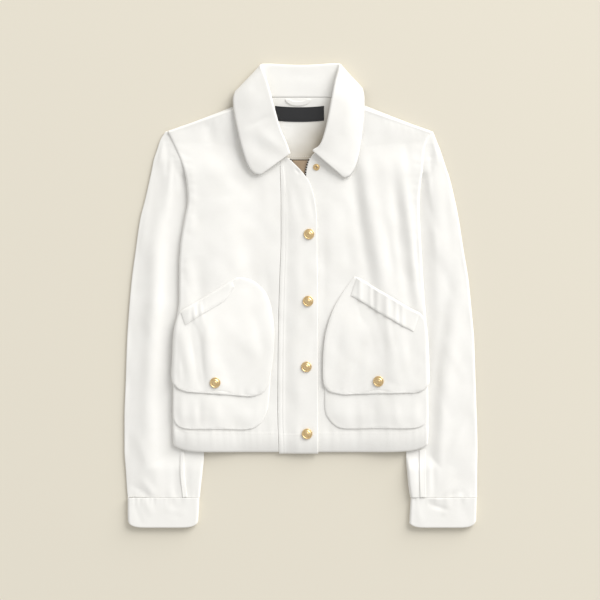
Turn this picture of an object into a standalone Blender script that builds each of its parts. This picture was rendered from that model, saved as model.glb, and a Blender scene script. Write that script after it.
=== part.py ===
"""A cropped barn jacket in heavy cotton twill, lying on its back on a flat surface.

The back lies on the surface, the two fronts lie on the back, the sleeves lie beside the body with their
inner edges tucked under it, and each pocket, flap, placket and collar leaf lies on the panel below it.

Frame: +X towards the wearer's left, +Y up towards the collar, +Z up from the surface. The origin is the
middle of the jacket's outline, on the surface. Tables and sizes are in millimetres.
"""

import math

import bpy
import numpy as np
from mathutils import Vector

MM = 0.001
CENTRE_SHIFT = (0.0, -1.53)  # moves the tables' zero to the middle of the outline

# Thickness of each cloth ------------------------------------------------------------------------------
TWILL = 1.6  # twill shell with its lining
POCKET_TWILL = 1.4
BAND_TWILL = 1.2
COLLAR_TWILL = 2.0  # two layers and an interlining
CUFF_TWILL = 2.0
THIN = 1.0  # facing, lining, zip tape and label
SEAM_GAP = 0.3
LAY_GAP = 0.5  # between two layers that lie on each other
INNER_GAP = 3.4  # between the back and the fronts

# Heights of the body --------------------------------------------------------------------------------------
SLEEVE_LIFT = 4.2  # how far the sleeves under the body lift its sides
SLEEVE_LIFT_REACH = (42.0, 112.0)  # full inside the first distance from the side edge, gone at the second
SLEEVE_LIFT_START = (235.0, 183.0)  # grows down the armhole between these heights
COLLAR_LIFT = 2.6  # how far the collar's fall under the neck lifts the back
COLLAR_LIFT_Y = (215.0, 285.0)
COLLAR_LIFT_X = (190.0, 90.0)
SIDE_ROLL = 5.0  # radius of the rolled side, shoulder and sleeve edges
SIDE_DROP = 3.7  # a front's rolled side comes down to the back's rim
ARMHOLE_DROP = 1.4  # the armhole seam stays nearly level with the sleeve
ARMHOLE_DROP_Y = (165.0, 200.0)

# Heights of the sleeves --------------------------------------------------------------------------------
SLEEVE_TOP = 5.8  # middle of the upper layer beside the body; it is pressed flat below the body
SLEEVE_LOFT_REACH = {"right": (5.0, 38.0), "left": (1.0, 24.0)}
SLEEVE_RIM = 2.1  # the upper layer's rolled edges come down to this height
SLEEVE_SLOPE = {"right": 0.6, "left": 0.15}  # share of that which is a long slope on the outer side
SLEEVE_SLOPE_REACH = 26.0
PRESSED_RIM = 0.7  # and to this much more where the body presses on it
SLEEVE_LOFT_BELOW_HEM = (-234.0, -262.0)
UNDERARM_Y = 178.0
TUCKED_Y = (168.0, 186.0)  # below these heights the sleeve's inner edge lies under the body
CUFF_ROWS_TOP = -215.0

CUFF_TOP = -302.0
CUFF_BOTTOM = -347.0
CUFF_CORNER = 4.0  # how far the cuff's bottom corners are rounded up
CUFF_HOLLOW = 3.6
HEM_TOP = -203.0  # the hem is turned up and stitched here
HEM_EXTRA = 0.5
HEM_ROLL = 4.5
HEM_DROP = 4.2  # the fronts come down in front of the back's hem

FACING_BOTTOM = 205.5
LINING_BOTTOM = 140.0

SNAP_RADIUS = 8.0
SNAP_HEIGHT = 3.6
STUD_RADIUS = 5.0
ROUND_SIDES = 16

TWILL_COLOUR = (0.90, 0.89, 0.85, 1.0)
LINING_COLOUR = (0.58, 0.47, 0.34, 1.0)
LABEL_COLOUR = (0.012, 0.012, 0.012, 1.0)
BRASS_COLOUR = (0.80, 0.58, 0.25, 1.0)


def table(columns, *rows):
    """Rows of numbers as one array for each named column."""
    return dict(zip(columns.split(), np.array(rows, float).T))


# Outlines, seen from above. "right" is the wearer's right, at -X -----------------------------------
# The side of the body: down the armhole seam to the underarm, then down the side seam.
BODY_SIDE = table(
    "y right left",
    (248, -199, 195),
    (235, -193, 189),
    (220, -186, 185),
    (205, -179.5, 183.5),
    (190, -174.5, 182.5),
    (172, -171, 180),
    (145, -169, 177.5),
    (115, -174, 178),
    (77, -180, 180),
    (40, -182, 182),
    (-5, -182, 185),
    (-35, -186, 187.5),
    (-80, -189, 189),
    (-125, -190.5, 190),
    (-170, -191.5, 191),
    (-200, -191.5, 191),
    (-222, -190.5, 189.5),
)

# The front edges: down the neckline, then down the placket seam (right) or the zip (left).
BODY_CENTRE = table(
    "y right left",
    (293, -69, 66),
    (281, -62, 61),
    (265, -51.5, 53),
    (247, -42, 45),
    (228, -35, 34),
    (212, -32, 17),
    (200, -31.2, 11),
    (185, -31, 8),
    (145, -30, 6),
    (85, -30, 5),
    (40, -31.5, 5),
    (-5, -33, 4.5),
    (-80, -34.5, 4),
    (-170, -35, 4),
    (-233, -33, 4),
)

# The heights that each cross-section of a front joins, from its side edge to its centre edge.
FRONT_SECTIONS = table(
    "side centre",
    (248, 293),
    (235, 281),
    (220, 265),
    (205, 247),
    (190, 228),
    (172, 200),
    (145, 160),
    (115, 120),
    (77, 78),
    (40, 40),
    (-5, -5),
    (-200, -203),
    (-222, -233),
)
HEM_BOW = 11.0  # the hem's line is straight and turns up only close to the sides

BACK_NECK_Y = 298.5
BACK_NECK_HALF = 66.0
BACK_HEM_UP = 3.2  # the back's hem lies this far above the fronts' hem

# The facing inside the back's neck.
FACING = table(
    "y right left",
    (BACK_NECK_Y - 0.2, -56, 54),
    (288, -60, 58),
    (276, -64, 62),
    (262, -70, 68),
    (FACING_BOTTOM, -74, 72),
)

SLEEVE = table(
    "y right_out right_in left_out left_in",
    (248, -203, -200.2, 198.5, 196.2),
    (235, -211, -194.3, 203, 190.3),
    (220, -216, -187.3, 209, 186.3),
    (205, -221, -180.8, 214, 184.8),
    (190, -224, -175.8, 219, 183.8),
    (178, -226.5, -172.8, 223, 182.0),
    (145, -234, -161, 231, 168),
    (115, -241.5, -156, 237, 161),
    (70, -248, -152, 244, 158),
    (25, -254, -150, 251.5, 157),
    (-20, -258, -149, 256, 157),
    (-65, -261, -148, 260, 157),
    (-125, -263, -146, 262, 157),
    (-185, -265, -145, 264, 157.5),
    (-230, -265, -145, 265, 158),
    (-260, -263, -147.7, 264.5, 160),
    (-290, -261, -151, 264.3, 163),
    (-301.6, -260, -152, 264.3, 165),
)
# Height of the sleeve's middle at the armhole seam, and below the underarm where the body lies on it.
SLEEVE_SEAM = table(
    "y middle",
    (168, 2.8),
    (177, 2.8),
    (190, 6.0),
    (205, 6.6),
    (220, 5.2),
    (235, 4.4),
    (248, 2.8),
)

CUFF = table(
    "y right_out right_in left_out left_in",
    (CUFF_TOP, -260, -152, 264.3, 165),
    (-322, -260, -153, 263.8, 163.8),
    (-338, -259.5, -154, 263.3, 163),
    (CUFF_BOTTOM, -258.5, -155, 262, 162.7),
)

# The placket with the snaps. Its top corner is turned back, so its free edge starts as a slant.
PLACKET = table(
    "y edge",
    (209, -21),
    (202.5, -12.8),
    (196.5, -6.7),
    (190.5, -0.8),
    (183.5, 5.2),
    (174, 11.6),
    (164, 16.2),
    (139, 22),
    (115, 24.3),
    (55, 25),
    (-5, 25.8),
    (-80, 25.8),
    (-170, 25.8),
    (-235.2, 26.2),
)
PLACKET_WIDTH = 56.0
PLACKET_WELT = 9.0  # double-stitched seam along the placket
WELT_HEIGHT = 0.7
PLACKET_HEM_DOWN = 2.2  # its hem comes down this far in front of the fronts' hem
PLACKET_HEM_Y = (-205.0, -222.0)
PLACKET_RISE = 2.4  # the placket lies on the left front
PLACKET_RISE_X = (-26.0, -1.0)

ZIP_TAPE = 13.0
ZIP_TEETH_REACH = 1.6  # the teeth stand out past the front's edge
ZIP_SPLIT_Y = 181.0  # the zip is open above this height
ZIP_TOP = 208.0
ZIP_CORNER_X = -17.0  # top end of the right tape, turned back with the placket

# Pockets: the two ends of each cross-section, from the side to the centre. x_side is a distance in from
# the side edge, x_centre a place.
PATCH = {
    "right": table(
        "side_in side_y centre_x centre_y",
        (0.8, -74, -42, -74),
        (0.8, -120, -45, -120),
        (0.8, -160, -48, -160),
        (1.0, -178, -51, -174),
        (2.5, -187, -56, -185),
        (6.0, -193, -63, -193),
        (14.0, -197, -72, -198),
        (26.0, -199, -84, -200),
    ),
    "left": table(
        "side_in side_y centre_x centre_y",
        (0.8, -74, 35.5, -74),
        (0.8, -120, 35.5, -120),
        (0.8, -160, 35.5, -160),
        (1.0, -176, 37, -174),
        (2.5, -186, 42, -184),
        (6.0, -192, 49, -192),
        (14.0, -196, 58, -197),
        (26.0, -198, 70, -198.5),
    ),
}
FLAP = {
    "right": table(
        "side_x side_y centre_x centre_y",
        (-96, 28.5, -92, 29),
        (-104, 24, -80, 27),
        (-116, 17, -64, 18.5),
        (-132, 7, -52, 5),
        (-150, -4, -45, -12),
        (-168, -14.5, -41, -35),
        (-180.5, -23, -39.5, -55),
        (-184.6, -36, -40, -75),
        (-187.6, -62, -42, -95),
        (-188.8, -90, -45, -115),
        (-190, -118, -49, -132),
        (-189.6, -128, -53, -140),
        (-187, -135, -58, -145),
        (-181, -140, -66, -149),
        (-170, -143.5, -76, -150.5),
    ),
    "left": table(
        "side_x side_y centre_x centre_y",
        (85, 29, 80.5, 30),
        (93, 25, 75.5, 24),
        (107, 16.5, 68, 14),
        (123, 7, 59, 0),
        (143, -5, 49, -18),
        (163, -17, 41, -40),
        (179, -25, 36, -62),
        (185.5, -36, 34, -80),
        (187.5, -62, 33, -98),
        (188.6, -90, 32.8, -115),
        (189.3, -118, 34, -130),
        (189.4, -128, 38, -138),
        (187.5, -136, 44, -143.5),
        (182, -141.5, 53, -146),
        (170, -144.5, 64, -147.5),
    ),
}
FLAP_PUFF = 1.5  # the patch below it is puffed out
FLAP_PATCH_Y = (20.0, -66.0)  # below this the flap lies on the patch, above it on the front
PATCH_PUFF = 1.2
BAND_WIDTH = {"right": 20.0, "left": 28.0}
BAND_START = {"right": 0.45, "left": 1.0}  # share of the width at the end towards the centre
BAND_INSET = 1.2
BAND_DOWN = (0.32, 0.95)  # the way that the band runs down from the opening, towards the centre

# Folds: a ridge or a trough from one point to another. width is half of it, height is signed.
FOLD_COLUMNS = "x0 y0 x1 y1 width height"
FRONT_FOLDS = {
    "right": table(
        FOLD_COLUMNS,
        (-154, 62, -150, -30, 11, -1.6),
        (-171, 70, -168, -28, 10, 1.2),
        (-139, 270, -134, 226, 9, -1.4),
        (-88, 100, -58, -10, 18, -1.3),
        (-110, 150, -95, 10, 26, 1.8),
        (-168, 200, -166, 90, 9, 1.2),
    ),
    "left": table(
        FOLD_COLUMNS,
        (71, 240, 113, -30, 10, -2.3),
        (88, 240, 130, -30, 12, 2.8),
        (135, 210, 167, -35, 9, -2.2),
        (150, 210, 179, -35, 8, 2.4),
        (55, 190, 60, 20, 20, 1.2),
    ),
}
FLAP_FOLDS = {
    "right": table(
        FOLD_COLUMNS,
        (-150, -5, -132, -150, 13, 2.4),
        (-160, -30, -146, -140, 9, -1.2),
        (-85, 20, -80, -150, 24, 1.2),
    ),
    "left": table(
        FOLD_COLUMNS,
        (104, -5, 132, -110, 12, -1.3),
        (128, 5, 142, -140, 12, 1.8),
        (75, -10, 80, -150, 20, 1.4),
    ),
}
SLEEVE_FOLDS = {
    "right": table(
        FOLD_COLUMNS,
        (-208, 190, -236, -290, 15, 3.4),
        (-203, 235, -200, 110, 8, 1.3),
        (-222, -150, -214, -330, 12, 1.2),
        (-243, -270, -216, -303, 6, 1.4),
        (-176, -225, -170, -310, 8, -1.1),
    ),
    "left": table(
        FOLD_COLUMNS,
        (246, 80, 190, -330, 13, 2.2),
        (229, 60, 173, -320, 10, -1.6),
        (184, 232, 183, 165, 7, -1.0),
        (202, 215, 214, 20, 12, 1.2),
        (228, -255, 204, -312, 8, 1.1),
        (166, -215, 169, -330, 17, 4.0),
    ),
}
# Small gathers across the band of each slanted pocket opening.
BAND_GATHERS = {"right": (-168, -160, -150, -143), "left": (89, 105, 116, 129, 143, 152)}
GATHER_WIDTH = 3.2
GATHER_HEIGHT = 1.3

VENT = {
    "right": table("y outer inner", (-232, -181, -175), (-262, -181, -174.5), (-301.4, -177, -170.5)),
    "left": table("y outer inner", (-230, 187, 178), (-262, 187, 178), (-301.4, 187.5, 179)),
}

# The collar, from its right front end round the back of the neck to its left front end. Each section has
# its neck seam, its roll line and its free edge. turn is the way that the fall lies from the stand:
# 0 is above it, 90 is beside it, 180 is below it.
COLLAR = table(
    "seam_x seam_y seam_z roll_x roll_y roll_z edge_x edge_y edge_z turn",
    (-21, 211, 8.4, -17.6, 213, 9.0, -60, 182.5, 9.6, 0),
    (-23, 214, 8.4, -19, 216, 9.4, -68, 183.5, 9.8, 0),
    (-26, 220, 8.5, -21, 222, 10.2, -74.5, 188, 10.4, 0),
    (-31.5, 231, 9.0, -25, 232, 11.8, -81.5, 200, 11.8, 0),
    (-40, 248, 9.8, -32.6, 249, 14.0, -89.5, 225, 12.8, 0),
    (-51, 267.5, 11.8, -39.4, 272, 16.5, -96.5, 255, 12.8, 0),
    (-60.5, 282, 12.6, -45.4, 295.5, 17.4, -101, 280, 11.8, 4),
    (-65.5, 289, 12.4, -51.4, 320, 15.4, -102, 294, 9.8, 12),
    (-67.5, 292.5, 11.4, -55.8, 336, 12.6, -100.8, 301.5, 7.6, 40),
    (-68.4, 295, 9.4, -58, 344, 9.2, -97.9, 307, 4.4, 90),
    (-66, 297.6, 7.4, -55.6, 346.4, 7.0, -92.5, 303.5, 1.7, 140),
    (-57, 298.8, 6.4, -46, 346.6, 6.3, -76, 294, 1.0, 176),
    (-30, 299, 6.2, -26, 345.4, 6.3, -42, 289, 1.0, 180),
    (0, 299, 6.2, 0, 344.7, 6.3, 0, 288, 1.0, 180),
    (30, 299, 6.2, 26, 345.6, 6.3, 40, 289, 1.0, 180),
    (56, 298.8, 6.4, 46, 347, 6.3, 72, 295, 1.0, 176),
    (65, 297.6, 7.4, 55, 347, 7.0, 87, 306, 1.7, 140),
    (67.6, 295, 9.4, 57.6, 344.5, 9.2, 92.6, 311.5, 4.4, 90),
    (66.8, 292.5, 11.4, 55.6, 336, 12.6, 95, 304, 7.6, 40),
    (65, 289, 12.4, 52, 320, 15.4, 96, 294, 9.8, 12),
    (61, 282, 12.6, 48.2, 295.5, 17.4, 95.8, 280, 10.2, 4),
    (54.5, 267.5, 11.8, 44.2, 271, 16.5, 93.8, 254, 9.4, 0),
    (46.5, 248, 9.8, 39, 248, 14.0, 89.8, 223, 8.8, 0),
    (36.4, 231, 9.0, 32.6, 230, 11.8, 84, 199, 9.6, 0),
    (29, 222, 8.5, 27, 222.5, 10.2, 78, 186, 10.2, 0),
    (24, 217.5, 8.4, 21.5, 219, 9.4, 72, 179.5, 10.8, 0),
    (21.5, 215, 8.4, 19.5, 216.6, 9.0, 65.5, 177.5, 10.8, 0),
)
COLLAR_ROLL = 2.1  # radius of the fold at the roll line
LEAF_BULGE = 1.6

LABEL = {"low": (-38.5, 264.0), "high": (35.0, 286.0), "sag": 2.0}
LOOP = {"centre": (-4.0, 296.4), "half_width": 19.5, "depth": 10.6, "ribbon": 7.4, "thick": 1.2}

PLACKET_SNAPS = ((12.5, 93.5), (11.0, -7.0), (8.5, -105.5), (9.5, -206.0))
FLAP_SNAPS = {"right": (-128.5, -129.0), "left": (117.0, -127.0)}
STUD_PLACE = (23.5, 194.0)

SIGN = {"right": -1.0, "left": 1.0}


# Curves and heights ------------------------------------------------------------------------------------
def smooth(low, high, value):
    """0 up to low, 1 from high on, and an even S between them. low may lie above high."""
    share = np.clip((np.asarray(value, float) - low) / (high - low), 0.0, 1.0)
    return share * share * (3.0 - 2.0 * share)


def through(knots, values, places):
    """Smooth curve through the table's values that never overshoots them (monotone cubic)."""
    order = np.argsort(knots)
    x, y = np.asarray(knots, float)[order], np.asarray(values, float)[order]
    step, slope = np.diff(x), np.diff(y) / np.diff(x)
    tangent = np.zeros_like(y)
    same_way = slope[:-1] * slope[1:] > 0
    harmonic = 2.0 * slope[:-1] * slope[1:] / np.where(same_way, slope[:-1] + slope[1:], 1.0)
    tangent[1:-1] = np.where(same_way, harmonic, 0.0)
    tangent[0], tangent[-1] = slope[0], slope[-1]
    places = np.clip(np.asarray(places, float), x[0], x[-1])
    i = np.clip(np.searchsorted(x, places) - 1, 0, len(step) - 1)
    t = (places - x[i]) / step[i]
    start = y[i] * (1 + 2 * t) * (1 - t) ** 2 + y[i + 1] * t * t * (3 - 2 * t)
    return start + step[i] * (tangent[i] * t * (1 - t) ** 2 - tangent[i + 1] * t * t * (1 - t))


def side_x(side, y):
    return through(BODY_SIDE["y"], BODY_SIDE[side], y)


def centre_x(side, y):
    return through(BODY_CENTRE["y"], BODY_CENTRE[side], y)


def rolled(distance, radius, drop):
    """How far a rolled edge has come down at a distance in from it: a quarter of an ellipse."""
    share = np.clip(1.0 - np.asarray(distance, float) / radius, 0.0, 1.0)
    return drop * (1.0 - np.sqrt(np.clip(1.0 - share * share, 0.0, 1.0)))


def folds(rows, x, y):
    """Sum of soft ridges and troughs. Each fades out towards the ends of its line."""
    total = np.zeros(np.broadcast(x, y).shape)
    for x0, y0, x1, y1, width, height in zip(*rows.values()):
        length = math.hypot(x1 - x0, y1 - y0)
        along = ((x - x0) * (x1 - x0) + (y - y0) * (y1 - y0)) / length**2
        across = ((x - x0) * (y1 - y0) - (y - y0) * (x1 - x0)) / length
        fade = np.clip(1.0 - (2.0 * along - 1.0) ** 2, 0.0, 1.0)
        total = total + height * fade * np.exp(-((across / width) ** 2))
    return total


def body_lift(side, x, y):
    """Height of the back's underside: 0 on the surface, more on the sleeve and on the collar's fall."""
    inward = np.clip(SIGN[side] * (side_x(side, y) - x), 0.0, None)
    on_sleeve = SLEEVE_LIFT * smooth(*SLEEVE_LIFT_START, y) * (1.0 - smooth(*SLEEVE_LIFT_REACH, inward))
    on_fall = COLLAR_LIFT * smooth(*COLLAR_LIFT_Y, y) * smooth(*COLLAR_LIFT_X, np.abs(x))
    return np.maximum(on_sleeve, on_fall)


def shoulder_distance(side, x, y):
    """Distance down from the shoulder line, which runs straight from the neck to the sleeve's top."""
    tip = np.array((side_x(side, BODY_SIDE["y"][0]), BODY_SIDE["y"][0]), float)
    neck = np.array((centre_x(side, BODY_CENTRE["y"][0]), BODY_CENTRE["y"][0]), float)
    along = (neck - tip) / np.linalg.norm(neck - tip)
    return np.abs(along[0]) * (tip[1] - y) + np.abs(along[1]) * SIGN[side] * (tip[0] - x)


def hem_y(side, x):
    """Height of the front's hem line at a place across the front."""
    high, low = FRONT_SECTIONS["side"][-1], FRONT_SECTIONS["centre"][-1]
    share = (x - side_x(side, high)) / (centre_x(side, low) - side_x(side, high))
    return low + (high - low) * (1.0 - np.clip(share, 0.0, 1.0)) ** HEM_BOW


def front_height(side, x, y):
    """Middle of the front's cloth above the surface."""
    inward = np.clip(SIGN[side] * (side_x(side, y) - x), 0.0, None)
    below_shoulder = np.clip(shoulder_distance(side, x, y), 0.0, None)
    at_armhole = smooth(*ARMHOLE_DROP_Y, y)
    drop = SIDE_DROP + (ARMHOLE_DROP - SIDE_DROP) * at_armhole
    down = np.maximum(rolled(inward, SIDE_ROLL, drop), rolled(below_shoulder, SIDE_ROLL, SIDE_DROP))
    down = np.maximum(down, rolled(np.clip(y - hem_y(side, x), 0.0, None), HEM_ROLL, HEM_DROP))
    height = body_lift(side, x, y) + TWILL + INNER_GAP + TWILL / 2
    calm = smooth(0.0, 12.0, inward) * smooth(0.0, 14.0, below_shoulder)
    return height + calm * folds(FRONT_FOLDS[side], x, y) - down


def placket_height(x, y):
    """The height of the fronts below it. Its hem comes down a little in front of theirs."""
    y = y + PLACKET_HEM_DOWN * smooth(*PLACKET_HEM_Y, y)
    rise = PLACKET_RISE * smooth(*PLACKET_RISE_X, x)
    return np.where(x < 0, front_height("right", x, y), front_height("left", x, y)) + rise


def sleeve_free(side, x, y):
    """0 where the sleeve is sewn to the body or lies under it, 1 where nothing holds it down."""
    body_edge = side_x(side, np.clip(y, BODY_SIDE["y"][-1], None))
    seam = np.where(y > UNDERARM_Y, through(SLEEVE["y"], SLEEVE[side + "_in"], y), body_edge)
    outward = SIGN[side] * (x - seam)
    return np.maximum(smooth(*SLEEVE_LOFT_REACH[side], outward), smooth(*SLEEVE_LOFT_BELOW_HEM, y))


def sleeve_height(side, x, y):
    """Middle of the sleeve's upper cloth: pressed flat under the body, loftier beside it."""
    free = sleeve_free(side, x, y)
    at_seam = through(SLEEVE_SEAM["y"], SLEEVE_SEAM["middle"], y)
    from_out = SIGN[side] * (through(SLEEVE["y"], SLEEVE[side + "_out"], y) - x)
    from_in = SIGN[side] * (x - through(SLEEVE["y"], SLEEVE[side + "_in"], y))
    calm = free * smooth(0.0, 12.0, from_out)
    height = at_seam + (SLEEVE_TOP - at_seam) * free + calm * folds(SLEEVE_FOLDS[side], x, y)
    to_rim = np.clip(height - SLEEVE_RIM - PRESSED_RIM * (1.0 - free), 0.0, None)
    slope = SLEEVE_SLOPE[side]
    drop_out = to_rim * slope * np.clip(1.0 - from_out / SLEEVE_SLOPE_REACH, 0.0, 1.0) ** 1.4
    drop_out = drop_out + rolled(np.clip(from_out, 0, None), SIDE_ROLL, to_rim * (1.0 - slope))
    tucked = 1.0 - smooth(*TUCKED_Y, y)
    drop_in = rolled(np.clip(from_in, 0, None), SIDE_ROLL, to_rim * tucked)
    return height - np.maximum(drop_out, drop_in)


def moved_out(height, x, y, out):
    """Points at a distance out from a height field, square to it."""
    nudge = 0.1
    slope_x = (height(x + nudge, y) - height(x - nudge, y)) / (2 * nudge)
    slope_y = (height(x, y + nudge) - height(x, y - nudge)) / (2 * nudge)
    normal = np.stack([-slope_x, -slope_y, np.ones_like(slope_x)], -1)
    normal /= np.linalg.norm(normal, axis=-1, keepdims=True)
    return np.stack([x, y, height(x, y)], -1) + normal * np.asarray(out, float)[..., None]


# Solids ---------------------------------------------------------------------------------------------------
def material(name, colour, roughness, metallic=0.0):
    made = bpy.data.materials.new(name)
    made.use_nodes = True
    shader = made.node_tree.nodes["Principled BSDF"]
    shader.inputs["Base Color"].default_value = colour
    shader.inputs["Roughness"].default_value = roughness
    shader.inputs["Metallic"].default_value = metallic
    return made


def add_object(name, points, faces, finish):
    mesh = bpy.data.meshes.new(name)
    shift = np.array((CENTRE_SHIFT[0], CENTRE_SHIFT[1], 0.0))
    mesh.from_pydata(((points + shift) * MM).tolist(), [], faces)
    mesh.materials.append(finish)
    mesh.shade_smooth()
    mesh.set_sharp_from_angle(angle=math.radians(50))
    made = bpy.data.objects.new(name, mesh)
    bpy.context.scene.collection.objects.link(made)
    return made


def cloth(name, top, bottom, finish, ring=False):
    """A wall of cloth between two grids of points. A ring's last column meets its first."""
    rows, columns = top.shape[:2]
    points = np.concatenate([top.reshape(-1, 3), bottom.reshape(-1, 3)])
    under = rows * columns

    def at(i, j):
        return i * columns + j % columns

    faces = []
    for i in range(rows - 1):
        for j in range(columns if ring else columns - 1):
            quad = (at(i, j), at(i + 1, j), at(i + 1, j + 1), at(i, j + 1))
            faces.append(quad)
            faces.append(tuple(under + k for k in reversed(quad)))
    rim = [(at(0, j + 1), at(0, j)) for j in range(columns if ring else columns - 1)]
    rim += [(at(rows - 1, j), at(rows - 1, j + 1)) for j in range(columns if ring else columns - 1)]
    if not ring:
        rim += [(at(i, 0), at(i + 1, 0)) for i in range(rows - 1)]
        rim += [(at(i + 1, columns - 1), at(i, columns - 1)) for i in range(rows - 1)]
    faces += [(b, a, under + a, under + b) for a, b in rim]
    if signed_volume(points, faces) < 0:
        faces = [tuple(reversed(face)) for face in faces]
    return add_object(name, points, faces, finish)


def signed_volume(points, faces):
    total = 0.0
    for face in faces:
        first = points[face[0]]
        for k in range(1, len(face) - 1):
            total += np.dot(first, np.cross(points[face[k]], points[face[k + 1]]))
    return total


def sheet_on(name, height, x, y, thickness, finish, raised=0.0):
    """Cloth whose middle lies on a height field, with parts of its outer face raised."""
    top = moved_out(height, x, y, np.full(x.shape, thickness / 2) + raised)
    bottom = moved_out(height, x, y, np.full(x.shape, -thickness / 2))
    return cloth(name, top, bottom, finish)


def turned(name, profile, place, normal, finish):
    """A round piece from a profile of radius and height, stood on a place along a normal."""
    turn = Vector((0, 0, 1)).rotation_difference(Vector(normal)).to_matrix()
    angles = 2 * math.pi * np.arange(ROUND_SIDES) / ROUND_SIDES
    points, rings = [], []
    for radius, height in profile:
        if radius == 0:
            rings.append([len(points)])
            points.append((0.0, 0.0, height))
        else:
            rings.append(list(range(len(points), len(points) + ROUND_SIDES)))
            points += [(radius * math.cos(a), radius * math.sin(a), height) for a in angles]
    faces = []
    for low, high in zip(rings, rings[1:] + rings[:1]):
        for k in range(ROUND_SIDES):
            after = (k + 1) % ROUND_SIDES
            if len(low) == 1 and len(high) == 1:
                continue
            if len(low) == 1:
                faces.append((low[0], high[after], high[k]))
            elif len(high) == 1:
                faces.append((low[k], low[after], high[0]))
            else:
                faces.append((low[k], low[after], high[after], high[k]))
    placed = np.array([np.array(turn @ Vector(p)) + place for p in points])
    if signed_volume(placed, faces) < 0:
        faces = [tuple(reversed(face)) for face in faces]
    return add_object(name, placed, faces, finish)


# Grids --------------------------------------------------------------------------------------------------
def between(start, end, count):
    return np.linspace(start, end, count)


def section_rows(rows, shares):
    """Every column of a table as a smooth curve, at shares of the way down the table."""
    knots = np.linspace(0.0, 1.0, len(next(iter(rows.values()))))
    return {name: through(knots, values, shares) for name, values in rows.items()}


def across_from_edge(width, near_edge, count):
    """Shares of the way across: some close to a rolled edge, the rest even."""
    near = np.array(near_edge) / width
    return np.concatenate([near, between(near[-1], 1.0, count + 1)[1:]])


ROLL_STEPS = (0.0, 0.6, 2.2, 5.5)


# The pieces ----------------------------------------------------------------------------------------------
def front_points(side, rows, share):
    """Places on a front: rows run down its sections, share runs from its side edge to its centre edge."""
    ends = section_rows(FRONT_SECTIONS, rows)
    side_y, centre_y = ends["side"][:, None], ends["centre"][:, None]
    bow = 1.0 + (HEM_BOW - 1.0) * smooth(-190.0, -222.0, side_y)
    x = side_x(side, side_y) + (centre_x(side, centre_y) - side_x(side, side_y)) * share
    y = centre_y + (side_y - centre_y) * (1.0 - share) ** bow
    return x, y, centre_y


def front(side, finish):
    """A front from its side, armhole and shoulder to its centre edge, with the turned-up hem."""
    rows = np.concatenate([(0.0, 0.006, 0.022), between(0.05, 0.972, 27), (0.986, 0.9944, 0.9983, 1.0)])
    share = across_from_edge(150.0, ROLL_STEPS, 10)[None, :]
    x, y, centre_y = front_points(side, rows, share)
    hem = HEM_EXTRA * smooth(HEM_TOP + 1.0, HEM_TOP - 2.0, centre_y) * np.ones_like(x)
    return sheet_on(f"front_{side}", lambda a, b: front_height(side, a, b), x, y, TWILL, finish, hem)


def back_points(side_y, share):
    """Places on the back: side_y runs down its sides, share runs from its right side to its left."""
    x = side_x("right", side_y) + (side_x("left", side_y) - side_x("right", side_y)) * share
    top_x = x[0]
    slope_r = (top_x - BODY_SIDE["right"][0]) / (-BACK_NECK_HALF - BODY_SIDE["right"][0])
    slope_l = (top_x - BODY_SIDE["left"][0]) / (BACK_NECK_HALF - BODY_SIDE["left"][0])
    neck_rise = (BACK_NECK_Y - side_y[0, 0]) * np.clip(np.minimum(slope_r, slope_l), 0.0, 1.0)
    hem_fall = (FRONT_SECTIONS["centre"][-1] + BACK_HEM_UP) - side_y[-1, 0]
    hem_fall = hem_fall * (1.0 - np.abs(2.0 * share - 1.0) ** HEM_BOW)
    down = (side_y[0, 0] - side_y) / (side_y[0, 0] - side_y[-1, 0])
    y = side_y + neck_rise * (1.0 - down) + hem_fall * down
    return x, y


def back(finish):
    """The whole back in one piece: shoulders, neck and both sides."""
    side_y = between(BODY_SIDE["y"][0], BODY_SIDE["y"][-1] + BACK_HEM_UP, 24)[:, None]
    half = across_from_edge(195.0, (0.0, 5.0, 40.0, 58.0, 76.0, 94.0, 112.0), 2) / 2
    share = np.concatenate([half, (1.0 - half[:-1])[::-1]])[None, :]
    x, y = back_points(side_y, share)
    return sheet_on("back", on_back(-TWILL / 2), x, y, TWILL, finish)


def on_back(above):
    """Height field of a thin layer that lies on the back's inner side."""

    def height(x, y):
        lift = np.where(x < 0, body_lift("right", x, y), body_lift("left", x, y))
        return lift + TWILL + above

    return height


def neck_inside(facing_finish, lining_finish, label_finish):
    """What shows inside the neck: the twill facing, the lining's top, the label and the loop."""
    lay = LAY_GAP - 0.1
    y = between(FACING["y"][0], FACING["y"][-1], 9)[:, None]
    left, right = through(FACING["y"], FACING["left"], y), through(FACING["y"], FACING["right"], y)
    x = right + (left - right) * between(0, 1, 9)[None, :]
    sheet_on("back_facing", on_back(lay + THIN / 2), x, y + 0 * x, THIN, facing_finish)
    x, y = np.meshgrid(between(-62, 62, 7), between(FACING_BOTTOM - SEAM_GAP, LINING_BOTTOM, 6))
    sheet_on("back_lining", on_back(lay + THIN / 2), x, y, THIN, lining_finish)
    on_facing = lay + THIN + SEAM_GAP + 0.1
    (x0, y0), (x1, y1) = LABEL["low"], LABEL["high"]
    x, y = np.meshgrid(between(x0, x1, 9), between(y1, y0, 4))
    y = y - LABEL["sag"] * (1.0 - (2.0 * (x - x0) / (x1 - x0) - 1.0) ** 2)
    sheet_on("neck_label", on_back(on_facing + THIN / 2), x, y, THIN, label_finish)
    angle = between(math.pi, 2 * math.pi, 15)[:, None]
    inside = between(0.0, LOOP["ribbon"], 3)[None, :]
    x = LOOP["centre"][0] + (LOOP["half_width"] - inside) * np.cos(angle)
    y = LOOP["centre"][1] + (LOOP["depth"] - inside * 0.95) * np.sin(angle)
    sheet_on("hanger_loop", on_back(on_facing + LOOP["thick"] / 2), x, y, LOOP["thick"], facing_finish)


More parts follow.
